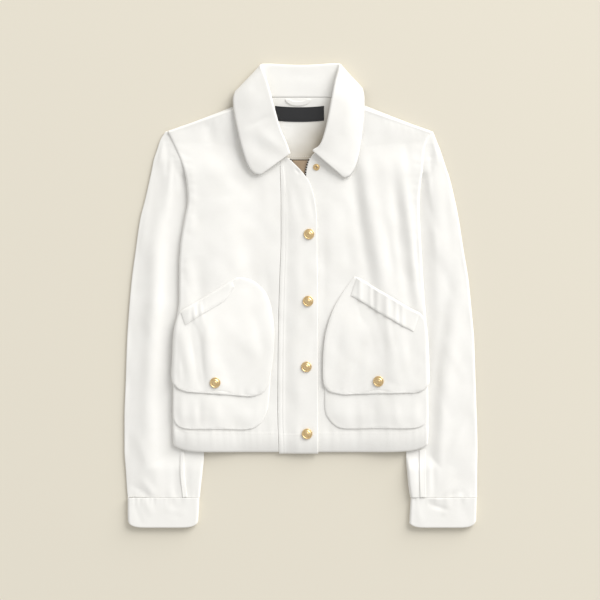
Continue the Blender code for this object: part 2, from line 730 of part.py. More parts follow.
def placket_points(y, share):
    """Places on the placket: share runs from its seam to its free edge."""
    seam = centre_x("right", y) + SEAM_GAP + 0.1
    free = through(PLACKET["y"], PLACKET["edge"], y)
    return seam + (free - seam) * share


def placket(finish):
    """The placket over the zip, with its double-stitched welt along the right front's edge."""
    shares = np.concatenate([between(0.0, 0.975, 26), (0.987, 0.9934, 0.9974, 0.9992, 1.0)])
    y = section_rows({"y": PLACKET["y"]}, shares)["y"][:, None]
    welt = np.array((0.0, PLACKET_WELT - 0.6, PLACKET_WELT + 0.4))
    share = np.concatenate([welt, between(welt[-1], PLACKET_WIDTH, 5)[1:]])[None, :] / PLACKET_WIDTH
    x = placket_points(y, share)
    raised = WELT_HEIGHT * (share * PLACKET_WIDTH < PLACKET_WELT) * smooth(201.0, 193.0, y)
    raised = raised + HEM_EXTRA * smooth(HEM_TOP + 1.0, HEM_TOP - 2.0, y)
    return sheet_on("front_placket", placket_height, x, y + 0 * x, TWILL - 0.2, finish, raised)


def zip_teeth_x(side, y):
    """The edge of a zip tape. The right one leaves the left one above the split, and slants away."""
    if side == "left":
        return centre_x("left", y) - ZIP_TEETH_REACH
    closed = centre_x("left", np.minimum(y, ZIP_SPLIT_Y)) - ZIP_TEETH_REACH - 0.4
    away = np.clip((y - ZIP_SPLIT_Y) / (ZIP_TOP - ZIP_SPLIT_Y), 0.0, 1.0)
    return closed + (ZIP_CORNER_X - closed) * away


def zip_height(side, x, y):
    """Middle of a zip tape: the left one follows the front above it, the right one lies level."""
    under = TWILL / 2 + LAY_GAP - 0.1 + THIN / 2
    level = TWILL + INNER_GAP + TWILL / 2
    return (front_height("left", x, y) if side == "left" else level + 0 * x) - under


def zip_tapes(finish):
    """The two zip tapes lie under the left front's edge and under the placket, open at the top."""
    y = np.concatenate([between(ZIP_TOP, 100, 10), between(100, -224, 8)[1:]])[:, None]
    for side in SIGN:
        inward = ZIP_TAPE * between(0, 1, 3)[None, :]
        x = zip_teeth_x(side, y) + SIGN[side] * inward
        sheet_on(f"zip_tape_{side}", lambda a, b: zip_height(side, a, b), x, y + 0 * x, THIN, finish)


def sleeve_points(side, y, share, inset=0.0):
    """Places across a sleeve, from its outer edge to its inner one."""
    outer = through(SLEEVE["y"], SLEEVE[side + "_out"], y) - SIGN[side] * inset
    inner = through(SLEEVE["y"], SLEEVE[side + "_in"], y)
    return outer + (inner - outer) * share


CUFF_ROWS = between(CUFF_ROWS_TOP, SLEEVE["y"][-1], 12)  # rows of a sleeve above its cuff


def sleeve(side, finish):
    """The upper and the under layer of one sleeve."""
    cap = between(SLEEVE["y"][0], TUCKED_Y[0] - 8.0, 9)
    y = np.concatenate([cap[:-1], between(cap[-1], CUFF_ROWS_TOP, 10)[:-1], CUFF_ROWS])[:, None]
    steps = np.array(ROLL_STEPS) / 100.0
    share = np.concatenate([steps, between(steps[-1], 1 - steps[-1], 8)[1:], (1 - steps[:3])[::-1]])[None, :]
    x = sleeve_points(side, y, share)
    sheet_on(f"sleeve_upper_{side}", lambda a, b: sleeve_height(side, a, b), x, y + 0 * x, TWILL, finish)
    y = between(SLEEVE["y"][0] - 2.0, SLEEVE["y"][-1], 20)[:, None]
    x = sleeve_points(side, y, between(0, 1, 3)[None, :], inset=0.4)
    sheet_on(f"sleeve_under_{side}", lambda a, b: TWILL / 2 + 0 * a, x, y + 0 * x, TWILL, finish)


def vent_points(side, y, share):
    rows = VENT[side]
    outer, inner = through(rows["y"], rows["outer"], y), through(rows["y"], rows["inner"], y)
    return outer + (inner - outer) * share


def sleeve_vent(side, finish):
    """The bound edge of the sleeve's vent, above the cuff. It has the sleeve's own rows."""
    start, end = VENT[side]["y"][0], VENT[side]["y"][-1]
    inside = (CUFF_ROWS < start - 1.0) & (CUFF_ROWS > end)
    y = np.concatenate([(start,), CUFF_ROWS[inside], (end,)])[:, None]
    x = vent_points(side, y, between(0, 1, 3)[None, :])
    lay = TWILL / 2 + LAY_GAP + BAND_TWILL / 2
    height = lambda a, b: sleeve_height(side, a, b) + lay
    return sheet_on(f"sleeve_vent_{side}", height, x, y + 0 * x, BAND_TWILL, finish)


def cuff_middle(side, y, bends, flats):
    """Rings of the cuff's tube: half a circle at each folded edge, joined above and below."""
    outer = through(CUFF["y"], CUFF[side + "_out"], y)
    inner = through(CUFF["y"], CUFF[side + "_in"], y)
    radius = (CUFF_HOLLOW + CUFF_TWILL) / 2
    low = (np.minimum(outer, inner) + CUFF_TWILL / 2 + radius)[:, None]
    high = (np.maximum(outer, inner) - CUFF_TWILL / 2 - radius)[:, None]
    bend = between(-math.pi / 2, math.pi / 2, bends)[None, :]
    flat = between(0, 1, flats)[None, 1:-1]
    across = [
        high + radius * np.cos(bend),
        high + (low - high) * flat,
        low - radius * np.cos(bend),
        low + (high - low) * flat,
    ]
    level = [np.sin(bend), 1.0 + 0 * flat, -np.sin(bend), -1.0 + 0 * flat]
    x = np.concatenate(across, axis=1)
    z = radius * (1.0 + np.concatenate(level, axis=1)) + CUFF_TWILL / 2 + 0 * x
    share = np.clip(np.abs(2.0 * (x - low) / (high - low) - 1.0), 0.0, 1.1)
    corner = CUFF_CORNER * smooth(-335.0, CUFF_BOTTOM, y)[:, None] * share**8
    return np.stack([x, y[:, None] + corner, z], -1)


def cuff(side, finish):
    """One cuff: a flattened tube whose lower half lies on the surface."""
    middle = cuff_middle(side, between(CUFF_TOP, CUFF_BOTTOM, 5), 5, 7)
    normals = grid_normals(middle, ring=True)
    if normals[0, len(middle[0]) // 4, 2] < 0:
        normals = -normals
    half = CUFF_TWILL / 2
    return cloth(f"cuff_{side}", middle + normals * half, middle - normals * half, finish, ring=True)


def grid_normals(points, ring=False):
    """Normals of a grid of points, from the differences between its neighbours."""
    along = np.gradient(points, axis=0)
    if ring:
        across = np.roll(points, -1, axis=1) - np.roll(points, 1, axis=1)
    else:
        across = np.gradient(points, axis=1)
    normals = np.cross(along, across)
    return normals / np.linalg.norm(normals, axis=-1, keepdims=True)


def pocket_grid(rows, downs, shares, side=None):
    """Places on a pocket layer, from its side end to its centre end in each section."""
    at = section_rows(rows, downs)
    if "side_in" in at:
        at["side_x"] = side_x(side, at["side_y"]) - SIGN[side] * at["side_in"]
    x0, y0, x1, y1 = (at[k][:, None] for k in ("side_x", "side_y", "centre_x", "centre_y"))
    return x0 + (x1 - x0) * shares, y0 + (y1 - y0) * shares


def layer_out():
    """How far the middle of a pocket layer lies out from the middle of the front."""
    return TWILL / 2 + LAY_GAP + 0.2 + POCKET_TWILL / 2


def flap_out(y):
    """The same for the flap, which lies on the front at its top and on the puffed patch below."""
    return layer_out() + (POCKET_TWILL + LAY_GAP + FLAP_PUFF) * smooth(*FLAP_PATCH_Y, y)


def pocket(side, finish):
    """Patch, flap and the gathered band along the slanted hand opening."""
    steps = np.array(ROLL_STEPS) / 140.0
    shares = np.concatenate([steps, between(steps[-1], 1.0, 8)[1:]])[None, :]

    x, y = pocket_grid(PATCH[side], between(0, 1, 10), shares, side)
    base = lambda a, b: front_height(side, a, b)
    edge_share = np.minimum(smooth(0, 0.12, shares), smooth(1.0, 0.88, shares))
    puff = PATCH_PUFF * edge_share * smooth(-199.0, -175.0, y)
    patch(f"pocket_patch_{side}", base, x, y, layer_out() + puff, finish)

    x, y = pocket_grid(FLAP[side], between(0, 1, 20), shares)
    fold = folds(FLAP_FOLDS[side], x, y) * smooth(0.02, 0.12, shares) * smooth(26.0, 6.0, y)
    patch(f"pocket_flap_{side}", base, x, y, flap_out(y) + np.maximum(fold, 0.0), finish)
    return band(side, base, finish)


def patch(name, base, x, y, out, finish, thickness=POCKET_TWILL):
    """A layer made from the points of the panel below it, moved out."""
    top = moved_out(base, x, y, out + thickness / 2)
    bottom = moved_out(base, x, y, out - thickness / 2)
    return cloth(name, top, bottom, finish)


def band_points(side, along, share):
    """Places on the band: along follows the flap's slanted edge, share runs down across the band."""
    start = 1 if side == "right" else 0
    at = section_rows({name: values[start:7] for name, values in FLAP[side].items()}, along)
    grows = BAND_START[side] + (1.0 - BAND_START[side]) * smooth(0.0, 0.3, along)
    down = (BAND_WIDTH[side] * grows)[:, None] * share
    x = (at["side_x"] - SIGN[side] * BAND_INSET)[:, None] - SIGN[side] * BAND_DOWN[0] * down
    y = (at["side_y"] - BAND_INSET)[:, None] - BAND_DOWN[1] * down
    return x, y


def band(side, base, finish):
    """The band lies on the flap along its slanted edge, gathered by short folds across it."""
    x, y = band_points(side, between(0, 1, 26), between(0, 1, 3)[None, :])
    fold = sum(GATHER_HEIGHT * np.exp(-(((x - g) / GATHER_WIDTH) ** 2)) for g in BAND_GATHERS[side])
    flap_folds = np.clip(folds(FLAP_FOLDS[side], x, y) * smooth(26.0, 6.0, y), 0.0, None)
    out = flap_out(y) + POCKET_TWILL / 2 + LAY_GAP + 0.3 + BAND_TWILL / 2 + flap_folds + fold
    return patch(f"pocket_band_{side}", base, x, y, out, finish, BAND_TWILL)


def collar_middle(sections, stand_steps, roll_steps, leaf_steps):
    """Middle of the collar: up the stand, half round the roll line, and out along the leaf to its edge."""
    at = section_rows(COLLAR, sections)
    seam, roll, edge = (
        np.stack([at[f"{name}_{axis}"] for axis in "xyz"], -1) for name in ("seam", "roll", "edge")
    )
    turn = np.radians(at["turn"])
    outward = np.stack([np.sign(at["seam_x"]) * np.sin(turn), 0 * turn, np.cos(turn)], -1)
    rise = roll - seam
    rise[:, 2] *= 0.4
    rise /= np.linalg.norm(rise, axis=-1, keepdims=True)
    rows = [seam + (roll - seam) * k for k in between(0, 1, stand_steps)]
    for angle in between(0, math.pi, roll_steps)[1:]:
        around = outward * (1 - math.cos(angle)) + rise * math.sin(angle)
        rows.append(roll + around * COLLAR_ROLL)
    crest = rows[-1]
    for k in between(0, 1, leaf_steps)[1:]:
        bulge = LEAF_BULGE * math.sin(math.pi * k) * outward * np.clip(np.cos(turn), 0.0, 1.0)[:, None]
        rows.append(crest + (edge - crest) * k + bulge)
    return np.array(rows)


def collar(finish):
    """One wall from the neck seam up the stand, over the roll line and out to the free edge."""
    middle = collar_middle(between(0, 1, 42), 3, 5, 5)
    normals = grid_normals(middle)
    half = COLLAR_TWILL / 2
    return cloth("collar", middle + normals * half, middle - normals * half, finish)


def snap_profile():
    """Half outline of a snap's cap: a rolled rim round a low dome."""
    r, h = SNAP_RADIUS, SNAP_HEIGHT
    return (
        (0, 0),
        (r - 0.6, 0),
        (r, 1.0),
        (r - 0.6, 2.0),
        (r - 2.2, 2.3),
        (r * 0.45, h - 0.3),
        (0, h),
    )


def stud_profile():
    """Half outline of the open stud: a flat ring with a hollow post."""
    r = STUD_RADIUS
    low = ((r - 3.6, 0), (r - 0.6, 0), (r, 0.6), (r - 0.6, 1.2))
    return low + ((r - 2.0, 1.3), (r - 2.4, 2.6), (r - 3.6, 2.6))


def stand_on(height, place, out):
    """A point above a height field, and the normal there."""
    x, y = np.array([float(place[0])]), np.array([float(place[1])])
    low, high = moved_out(height, x, y, np.array([0.0]))[0], moved_out(height, x, y, np.array([1.0]))[0]
    return low + (high - low) * out, high - low


def snaps(finish):
    """The four caps on the placket, the cap on each flap, and the open stud at the neck."""
    on_placket = (TWILL - 0.2) / 2 + SEAM_GAP + 0.2
    for number, place in enumerate(PLACKET_SNAPS, 1):
        hem = HEM_EXTRA if place[1] < HEM_TOP + SNAP_RADIUS else 0.0
        point, normal = stand_on(placket_height, place, on_placket + hem)
        turned(f"placket_snap_{number}", snap_profile(), point, normal, finish)
    on_front = TWILL / 2 + LAY_GAP + 0.2 + POCKET_TWILL / 2
    on_flap = on_front + POCKET_TWILL + LAY_GAP + FLAP_PUFF + POCKET_TWILL / 2 + SEAM_GAP + 0.3
    for side, place in FLAP_SNAPS.items():
        fold = folds(FLAP_FOLDS[side], *np.array(place, float)[:, None])[0]
        height = lambda a, b: front_height(side, a, b)
        point, normal = stand_on(height, place, on_flap + max(fold, 0.0))
        turned(f"flap_snap_{side}", snap_profile(), point, normal, finish)
    height = lambda a, b: front_height("left", a, b)
    point, normal = stand_on(height, STUD_PLACE, TWILL / 2 + SEAM_GAP + 0.1)
    turned("neck_stud", stud_profile(), point, normal, finish)


def jacket():
    for old in list(bpy.data.objects):
        bpy.data.objects.remove(old)
    twill = material("white_twill", TWILL_COLOUR, 0.85)
    lining = material("tan_lining", LINING_COLOUR, 0.6)
    label = material("black_label", LABEL_COLOUR, 0.5)
    brass = material("brass", BRASS_COLOUR, 0.3, 1.0)
    tape = material("zip_tape", TWILL_COLOUR, 0.8)
    back(twill)
    neck_inside(twill, lining, label)
    for side in SIGN:
        front(side, twill)
        sleeve(side, twill)
        sleeve_vent(side, twill)
        cuff(side, twill)
        pocket(side, twill)
    placket(twill)
    zip_tapes(tape)
    collar(twill)
    snaps(brass)


jacket()
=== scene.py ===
"""The looks of a cropped barn jacket in white cotton twill, lying flat on its back.

Every piece of cloth is a wall. Its middle is a surface worked out on a grid, as the height of the
cloth over each place of its outline. Half the thickness is added on each side, along the surface's
own normal, and falls to nothing at an open edge on a quarter of an ellipse, so that the two sides
meet in a round edge. Places and sizes are in millimetres, as a pattern cutter's are, and become
metres only in the mesh.

+X points to the wearer's left, +Y up towards the collar, +Z up from the surface that the jacket
lies on.
"""

# %% [markdown]
# # The imported model
# The solids of the jacket are already modelled and packed. Each piece made here lies
# exactly where its solid does, takes its place, and rides on the same body.

# %% Load the frame
import math

import bmesh
import bpy
import numpy as np
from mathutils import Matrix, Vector


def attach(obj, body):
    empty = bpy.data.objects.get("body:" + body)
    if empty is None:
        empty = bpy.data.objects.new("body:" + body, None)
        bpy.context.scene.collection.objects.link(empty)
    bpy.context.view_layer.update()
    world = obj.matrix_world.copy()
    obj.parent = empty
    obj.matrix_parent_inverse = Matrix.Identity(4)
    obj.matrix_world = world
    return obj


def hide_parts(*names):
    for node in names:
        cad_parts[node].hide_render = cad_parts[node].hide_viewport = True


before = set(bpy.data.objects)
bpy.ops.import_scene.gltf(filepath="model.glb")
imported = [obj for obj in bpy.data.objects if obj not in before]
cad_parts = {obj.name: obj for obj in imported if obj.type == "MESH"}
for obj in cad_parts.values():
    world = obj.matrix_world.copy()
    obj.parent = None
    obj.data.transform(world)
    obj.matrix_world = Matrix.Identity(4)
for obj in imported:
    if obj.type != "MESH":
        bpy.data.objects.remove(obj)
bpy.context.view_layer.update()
MM = 0.001
CENTRE_SHIFT = np.array((0.0, -1.53, 0.0))  # moves the tables' zero to the middle of the outline

# %% [markdown]
# # Camera
# The photo looks straight down from far away, so the camera stands high above and sees a square
# of 0.9 m. A long lens keeps the two sleeves as flat as they look there.

# %% Camera
VIEW_WIDTH = 0.9
VIEW_MIDDLE = (-0.0011, -0.0068)
CAMERA_HEIGHT = 3.6
CLOTH_HEIGHT = 0.008

camera_data = bpy.data.cameras.new("camera")
camera_data.sensor_width = 36.0
camera_data.lens = camera_data.sensor_width * (CAMERA_HEIGHT - CLOTH_HEIGHT) / VIEW_WIDTH
camera = bpy.data.objects.new("camera", camera_data)
camera.location = (*VIEW_MIDDLE, CAMERA_HEIGHT)
bpy.context.scene.collection.objects.link(camera)
bpy.context.scene.camera = camera
bpy.context.scene.view_settings.view_transform = "Standard"
print(f"the camera sees {VIEW_WIDTH} m from {CAMERA_HEIGHT} m up, by a {camera_data.lens:.0f} mm lens")

# %% [markdown]
# # Shader maths
# A material is a graph of nodes. Written as Python expressions it reads like a formula: `Socket`
# wraps one output and adds a Math node for each operator. `Finish` starts a material and adds
# every other node.

# %% Sockets that can be added and multiplied
class Socket:
    """An output of a node. +, -, * and / put a Math node between it and a number or another output."""

    def __init__(self, finish, output):
        self.finish = finish
        self.output = output

    def maths(self, operation, first, second=None, clamp=False):
        inputs = {0: first} if second is None else {0: first, 1: second}
        settings = {"operation": operation, "use_clamp": clamp}
        return self.finish.node("ShaderNodeMath", settings, inputs)

    def __add__(self, other):
        return self.maths("ADD", self, other)

    def __radd__(self, other):
        return self.maths("ADD", other, self)

    def __sub__(self, other):
        return self.maths("SUBTRACT", self, other)

    def __rsub__(self, other):
        return self.maths("SUBTRACT", other, self)

    def __mul__(self, other):
        return self.maths("MULTIPLY", self, other)

    def __rmul__(self, other):
        return self.maths("MULTIPLY", other, self)

    def sine(self):
        return self.maths("SINE", self)

    def held(self):
        """Kept between 0 and 1."""
        return self.maths("ADD", self, 0.0, clamp=True)


class Finish:
    """A material, with its Principled BSDF as shader."""

    def __init__(self, name, **values):
        self.material = bpy.data.materials.new(name)
        self.material.use_nodes = True
        self.tree = self.material.node_tree
        self.shader = self.tree.nodes["Principled BSDF"]
        self.set(self.shader, {key.replace("_", " "): value for key, value in values.items()})

    def set(self, node, inputs):
        for key, value in inputs.items():
            if isinstance(value, Socket):
                self.tree.links.new(value.output, node.inputs[key])
            else:
                node.inputs[key].default_value = value

    def node(self, kind, settings=None, inputs=None, output=0):
        """Adds a node: its settings first, then the values or links of its sockets."""
        made = self.tree.nodes.new(kind)
        for key, value in (settings or {}).items():
            setattr(made, key, value)
        self.set(made, inputs or {})
        return Socket(self, made.outputs[output])

    def mix(self, share, low, high):
        """A colour between two colours."""
        settings = {"data_type": "RGBA"}
        return self.node("ShaderNodeMix", settings, {0: share, 6: low, 7: high}, output=2)

    def noise(self, place, scale, detail=2.0, roughness=0.5):
        inputs = {"Vector": place, "Scale": scale, "Detail": detail, "Roughness": roughness}
        return self.node("ShaderNodeTexNoise", {}, inputs)

    def bump(self, height, distance, strength=1.0):
        inputs = {"Height": height, "Distance": distance, "Strength": strength}
        return self.node("ShaderNodeBump", {}, inputs)

# %% [markdown]
# # Cotton twill
# Twill shows fine slanting ribs, because each weft thread goes over one warp thread more than the
# last. The ribs follow the cut of each piece, so they are drawn on its own `cloth` UV map, which
# holds millimetres across and along the piece. Uneven yarn and a washed, slightly cloudy white
# lie over them.

# %% Twill, in the white of the shell
RIB_PITCH = 1.1  # mm between two slanting ribs
YARN_PITCH = 0.55
CLOUD_SIZE = 38.0
WHITE = (0.925, 0.912, 0.875, 1.0)
WHITE_SHADE = (0.865, 0.848, 0.803, 1.0)
# painted shade: the facing's colour goes towards this brown at its lower left, where the collar's
# shadow falls in the neck
FACING_PAINTED_SHADE = (0.44, 0.385, 0.295, 1.0)
PAINTED_SHADE_Y = 0.262  # m


def woven(name, light, shade, rib_pitch, rib_height, slope=1.0, painted_shade=None, **values):
    """height = ribs + yarn: sine waves along (u + slope x v) and across it, uneven by a noise."""
    finish = Finish(name, **values)
    place = finish.node("ShaderNodeUVMap", {"uv_map": "cloth"})
    split = finish.node("ShaderNodeSeparateXYZ", {}, {"Vector": place})
    across, along = split, Socket(finish, split.output.node.outputs[1])
    stretched = finish.node("ShaderNodeCombineXYZ", {}, {"X": across * 0.09, "Y": along * 0.9})
    slub = finish.noise(stretched, 1.0, 3.0, 0.6)
    cloud = finish.noise(place, 1.0 / CLOUD_SIZE, 4.0, 0.55)
    wobble = slub * 1.6
    turn = 2.0 * math.pi / (rib_pitch * math.hypot(1.0, slope))
    ribs = ((across + along * slope) * turn + wobble).sine()
    yarn = ((across - along * slope) * (2.0 * math.pi / YARN_PITCH) + wobble).sine()
    weave = ribs * 0.35 + yarn * 0.12 + slub * 0.6
    tone = (cloud * 1.1 - 0.3 + weave * 0.16).held()
    colour = finish.mix(tone, shade, light)
    # painted shade: the colour is darkened by a share that grows towards the facing's lower left
    if painted_shade:
        colour = finish.mix(painted_shade_share(finish), colour, painted_shade)
    finish.set(finish.shader, {"Base Color": colour, "Normal": finish.bump(weave, rib_height * MM)})
    return finish.material


def painted_shade_share(finish):
    """Share of the facing's painted shade, for the collar's shadow in the neck: 0 beside the label, 1
    at its lower left corner, plus a noise.
    """
    place = finish.node("ShaderNodeTexCoord", {}, {}, output=3)
    split = finish.node("ShaderNodeSeparateXYZ", {}, {"Vector": place})
    across, up = split, Socket(finish, split.output.node.outputs[1])
    share = across * 13.0 + (PAINTED_SHADE_Y - up) * 14.0 + finish.noise(place, 24.0) * 0.5 - 0.25
    return share.held()


twill = woven("white_twill", WHITE, WHITE_SHADE, RIB_PITCH, 0.09,
              Roughness=0.86, Sheen_Weight=0.25, Sheen_Roughness=0.45)
# the facing carries a painted shade towards its lower left, for the collar's shadow in the neck
facing_cotton = woven("facing_cotton", WHITE, WHITE_SHADE, 0.8, 0.05, painted_shade=FACING_PAINTED_SHADE, Roughness=0.9)
band_twill = woven("white_ribbon", WHITE, WHITE_SHADE, 0.9, 0.07, 0.0, Roughness=0.8)

# %% [markdown]
# # Lining, label, thread and metal
# The lining and the label are satin, with threads too fine to see one by one, so they shine a
# little. The snap caps are polished brass, a touch darker where the polish has worn. The zip is
# old dark brass.

# %% The other finishes
LINING_TAN = (0.46, 0.345, 0.225, 1.0)
LINING_SHADE = (0.34, 0.24, 0.15, 1.0)
LABEL_BLACK = (0.008, 0.008, 0.009, 1.0)
LABEL_SHADE = (0.016, 0.016, 0.017, 1.0)
THREAD = (0.90, 0.885, 0.85, 1.0)
THREAD_SHADE = (0.84, 0.82, 0.78, 1.0)
BRASS = (0.92, 0.73, 0.43, 1.0)
BRASS_WORN = (0.72, 0.50, 0.23, 1.0)
ZIP_BRASS = (0.10, 0.075, 0.05, 1.0)
ZIP_BRASS_DARK = (0.035, 0.026, 0.02, 1.0)

lining_satin = woven("tan_lining", LINING_TAN, LINING_SHADE, 0.7, 0.03, 0.0,
                     Roughness=0.5, Sheen_Weight=0.2)
label_satin = woven("black_label", LABEL_SHADE, LABEL_BLACK, 0.8, 0.05, 0.0, Roughness=0.55)


def metal(name, light, dark, roughness, spot_size):
    """Brushed metal: a noise on Object coordinates darkens it and roughens it in small spots."""
    finish = Finish(name, Metallic=1.0)
    place = finish.node("ShaderNodeTexCoord", {}, {}, output=3)
    spots = finish.noise(place, 1.0 / (spot_size * MM), 4.0, 0.6)
    worn = (spots * 2.4 - 0.8).held()
    finish.set(finish.shader, {
        "Base Color": finish.mix(worn, dark, light),
        "Roughness": roughness + (1.0 - worn) * 0.12,
        "Normal": finish.bump(spots, 0.05 * MM, 0.4),
    })
    return finish.material


def thread_finish():
    """Twisted sewing thread: a fine noise on Object coordinates stands for its plies."""
    finish = Finish("white_thread", Base_Color=THREAD, Roughness=0.7, Sheen_Weight=0.2)
    place = finish.node("ShaderNodeTexCoord", {}, {}, output=3)
    plies = finish.noise(place, 1.0 / (0.5 * MM), 2.0)
    finish.set(finish.shader, {
        "Base Color": finish.mix(plies, THREAD_SHADE, THREAD),
        "Normal": finish.bump(plies, 0.1 * MM, 0.5),
    })
    return finish.material


brass = metal("snap_brass", BRASS, BRASS_WORN, roughness=0.32, spot_size=2.5)
old_brass = metal("zip_brass", ZIP_BRASS, ZIP_BRASS_DARK, roughness=0.42, spot_size=1.0)
thread = thread_finish()
print("finishes:", ", ".join(sorted(material.name for material in bpy.data.materials)))

# %% [markdown]
# # Curves from short tables
# A pattern piece is given by a few sections with named columns. `through` joins them by a smooth
# curve that never swings past the table's values, so an outline has no bumps that the table
# doesn't hold.

# %% Tables and curves
SIGN = {"right": -1.0, "left": 1.0}


def table(columns, *rows):
    """Rows of numbers as one array for each named column."""
    return dict(zip(columns.split(), np.array(rows, float).T))


def creases(*rows):
    """Ridges and troughs, each from one point to another. width is half of it, height is signed."""
    return table("x0 y0 x1 y1 width height", *rows)


def smooth(low, high, value):
    """0 up to low, 1 from high on, and an even S between them. low may lie above high."""
    share = np.clip((np.asarray(value, float) - low) / (high - low), 0.0, 1.0)
    return share * share * (3.0 - 2.0 * share)


def through(knots, values, places):
    """Smooth curve through the table's values that never overshoots them (monotone cubic)."""
    order = np.argsort(knots)
    x, y = np.asarray(knots, float)[order], np.asarray(values, float)[order]
    step, slope = np.diff(x), np.diff(y) / np.diff(x)
    tangent = np.zeros_like(y)
    same_way = slope[:-1] * slope[1:] > 0
    harmonic = 2.0 * slope[:-1] * slope[1:] / np.where(same_way, slope[:-1] + slope[1:], 1.0)
    tangent[1:-1] = np.where(same_way, harmonic, 0.0)
    tangent[0], tangent[-1] = slope[0], slope[-1]
    places = np.clip(np.asarray(places, float), x[0], x[-1])
    i = np.clip(np.searchsorted(x, places) - 1, 0, len(step) - 1)
    t = (places - x[i]) / step[i]
    start = y[i] * (1 + 2 * t) * (1 - t) ** 2 + y[i + 1] * t * t * (3 - 2 * t)
    return start + step[i] * (tangent[i] * t * (1 - t) ** 2 - tangent[i + 1] * t * t * (1 - t))


def section_rows(rows, shares):
    """Every column of a table as a smooth curve, at shares of the way down the table."""
    knots = np.linspace(0.0, 1.0, len(next(iter(rows.values()))))
    return {name: through(knots, values, shares) for name, values in rows.items()}


def between(start, end, count):
    """Even steps from start to end."""
    return np.linspace(start, end, count)

# %% [markdown]
# # The body's outline
# The two fronts and the back share their side edges: the armhole down to the underarm, then the
# side seam.

# %% Outline of the body
# The side of the body: down the armhole seam to the underarm, then down the side seam.
BODY_SIDE = table(
    "y right left",
    (248, -199, 195),
    (235, -193, 189),
    (220, -186, 185),
    (205, -179.5, 183.5),
    (190, -174.5, 182.5),
    (172, -171, 180),
    (145, -169, 177.5),
    (115, -174, 178),
    (77, -180, 180),
    (40, -182, 182),
    (-5, -182, 185),
    (-35, -186, 187.5),
    (-80, -189, 189),
    (-125, -190.5, 190),
    (-170, -191.5, 191),
    (-200, -191.5, 191),
    (-222, -190.5, 189.5),
)
# The front edges: down the neckline, then down the placket seam (right) or the zip (left).
BODY_CENTRE = table(
    "y right left",
    (293, -69, 66),
    (281, -62, 61),
    (265, -51.5, 53),
    (247, -42, 45),
    (228, -35, 34),
    (212, -32, 17),
    (200, -31.2, 11),
    (185, -31, 8),
    (145, -30, 6),
    (85, -30, 5),
    (40, -31.5, 5),
    (-5, -33, 4.5),
    (-80, -34.5, 4),
    (-170, -35, 4),
    (-233, -33, 4),
)
# The heights that each cross-section of a front joins, from its side edge to its centre edge.
FRONT_SECTIONS = table(
    "side centre",
    (248, 293),
    (235, 281),
    (220, 265),
    (205, 247),
    (190, 228),
    (172, 200),
    (145, 160),
    (115, 120),
    (77, 78),
    (40, 40),
    (-5, -5),
    (-200, -203),
    (-222, -233),
)
HEM_BOW = 11.0  # the hem's line is straight and turns up only close to the sides
BACK_NECK_Y = 298.5
BACK_NECK_HALF = 66.0
BACK_HEM_UP = 3.2  # the back's hem lies this far above the fronts' hem


def side_x(side, y):
    """The body's side edge."""
    return through(BODY_SIDE["y"], BODY_SIDE[side], y)


def centre_x(side, y):
    """A front's centre edge."""
    return through(BODY_CENTRE["y"], BODY_CENTRE[side], y)


hem_width = BODY_SIDE["left"][-1] - BODY_SIDE["right"][-1]
print(f"the body is {hem_width:.0f} mm wide at its hem, of {len(BODY_SIDE['y'])} places a side")

# %% [markdown]
# # How high the cloth lies
# The back lies on the surface. The sleeves, tucked below the sides of the body, lift those sides,
# and the collar's fall lifts the neck. The fronts lie over the back, with a little air between,
# and roll down to it at their sides and shoulders. The folds are soft ridges and troughs along
# short lines.

# %% Cloths and heights
SEAM_GAP = 0.1  # sewn edges meet almost without a gap
LAY_GAP = 0.2  # and so do layers that are sewn on each other
SIDE_ROLL = 3.2  # radius of the rolled side, shoulder and sleeve edges
TWILL = 1.6  # twill shell with its lining
POCKET_TWILL = 1.4
BAND_TWILL = 1.2
COLLAR_TWILL = 2.0  # two layers and an interlining
CUFF_TWILL = 2.0
THIN = 1.0  # facing, lining, zip tape and label
INNER_GAP = 3.4  # between the back and the fronts
SLEEVE_LIFT = 4.2  # how far the sleeves under the body lift its sides
SLEEVE_LIFT_REACH = (42.0, 112.0)  # full up to the first distance from the side, gone at the second
SLEEVE_LIFT_START = (235.0, 183.0)  # grows down the armhole between these heights
COLLAR_LIFT = 2.6  # how far the collar's fall under the neck lifts the back
COLLAR_LIFT_Y = (215.0, 285.0)
COLLAR_LIFT_X = (190.0, 90.0)
SIDE_DROP = 3.7  # a front's rolled side comes down to the back's rim
ARMHOLE_DROP = 1.4  # the armhole seam stays nearly level with the sleeve
ARMHOLE_DROP_Y = (165.0, 200.0)
HEM_ROLL = 4.5
HEM_DROP = 4.2  # the fronts come down in front of the back's hem
FRONT_FOLDS = {
    "right": creases(
        (-154, 62, -150, -30, 11, -1.6), (-171, 70, -168, -28, 10, 1.2),
        (-139, 270, -134, 226, 9, -1.4), (-88, 100, -58, -10, 18, -1.3), (-110, 150, -95, 10, 26, 1.8),
        (-168, 200, -166, 90, 9, 1.2),
    ),
    "left": creases(
        (71, 240, 113, -30, 10, -2.3), (88, 240, 130, -30, 12, 2.8), (135, 210, 167, -35, 9, -2.2),
        (150, 210, 179, -35, 8, 2.4), (55, 190, 60, 20, 20, 1.2),
    ),
}

# %% Rolled edges and folds
def rolled(distance, radius, drop):
    """How far a rolled edge has come down at a distance in from it: a quarter of an ellipse."""
    share = np.clip(1.0 - np.asarray(distance, float) / radius, 0.0, 1.0)
    return drop * (1.0 - np.sqrt(np.clip(1.0 - share * share, 0.0, 1.0)))


def folds(rows, x, y):
    """Sum of soft ridges and troughs. Each fades out towards the ends of its line."""
    total = np.zeros(np.broadcast(x, y).shape)
    for x0, y0, x1, y1, width, height in zip(*rows.values()):
        length = math.hypot(x1 - x0, y1 - y0)
        along = ((x - x0) * (x1 - x0) + (y - y0) * (y1 - y0)) / length**2
        across = ((x - x0) * (y1 - y0) - (y - y0) * (x1 - x0)) / length
        fade = np.clip(1.0 - (2.0 * along - 1.0) ** 2, 0.0, 1.0)
        total = total + height * fade * np.exp(-((across / width) ** 2))
    return total

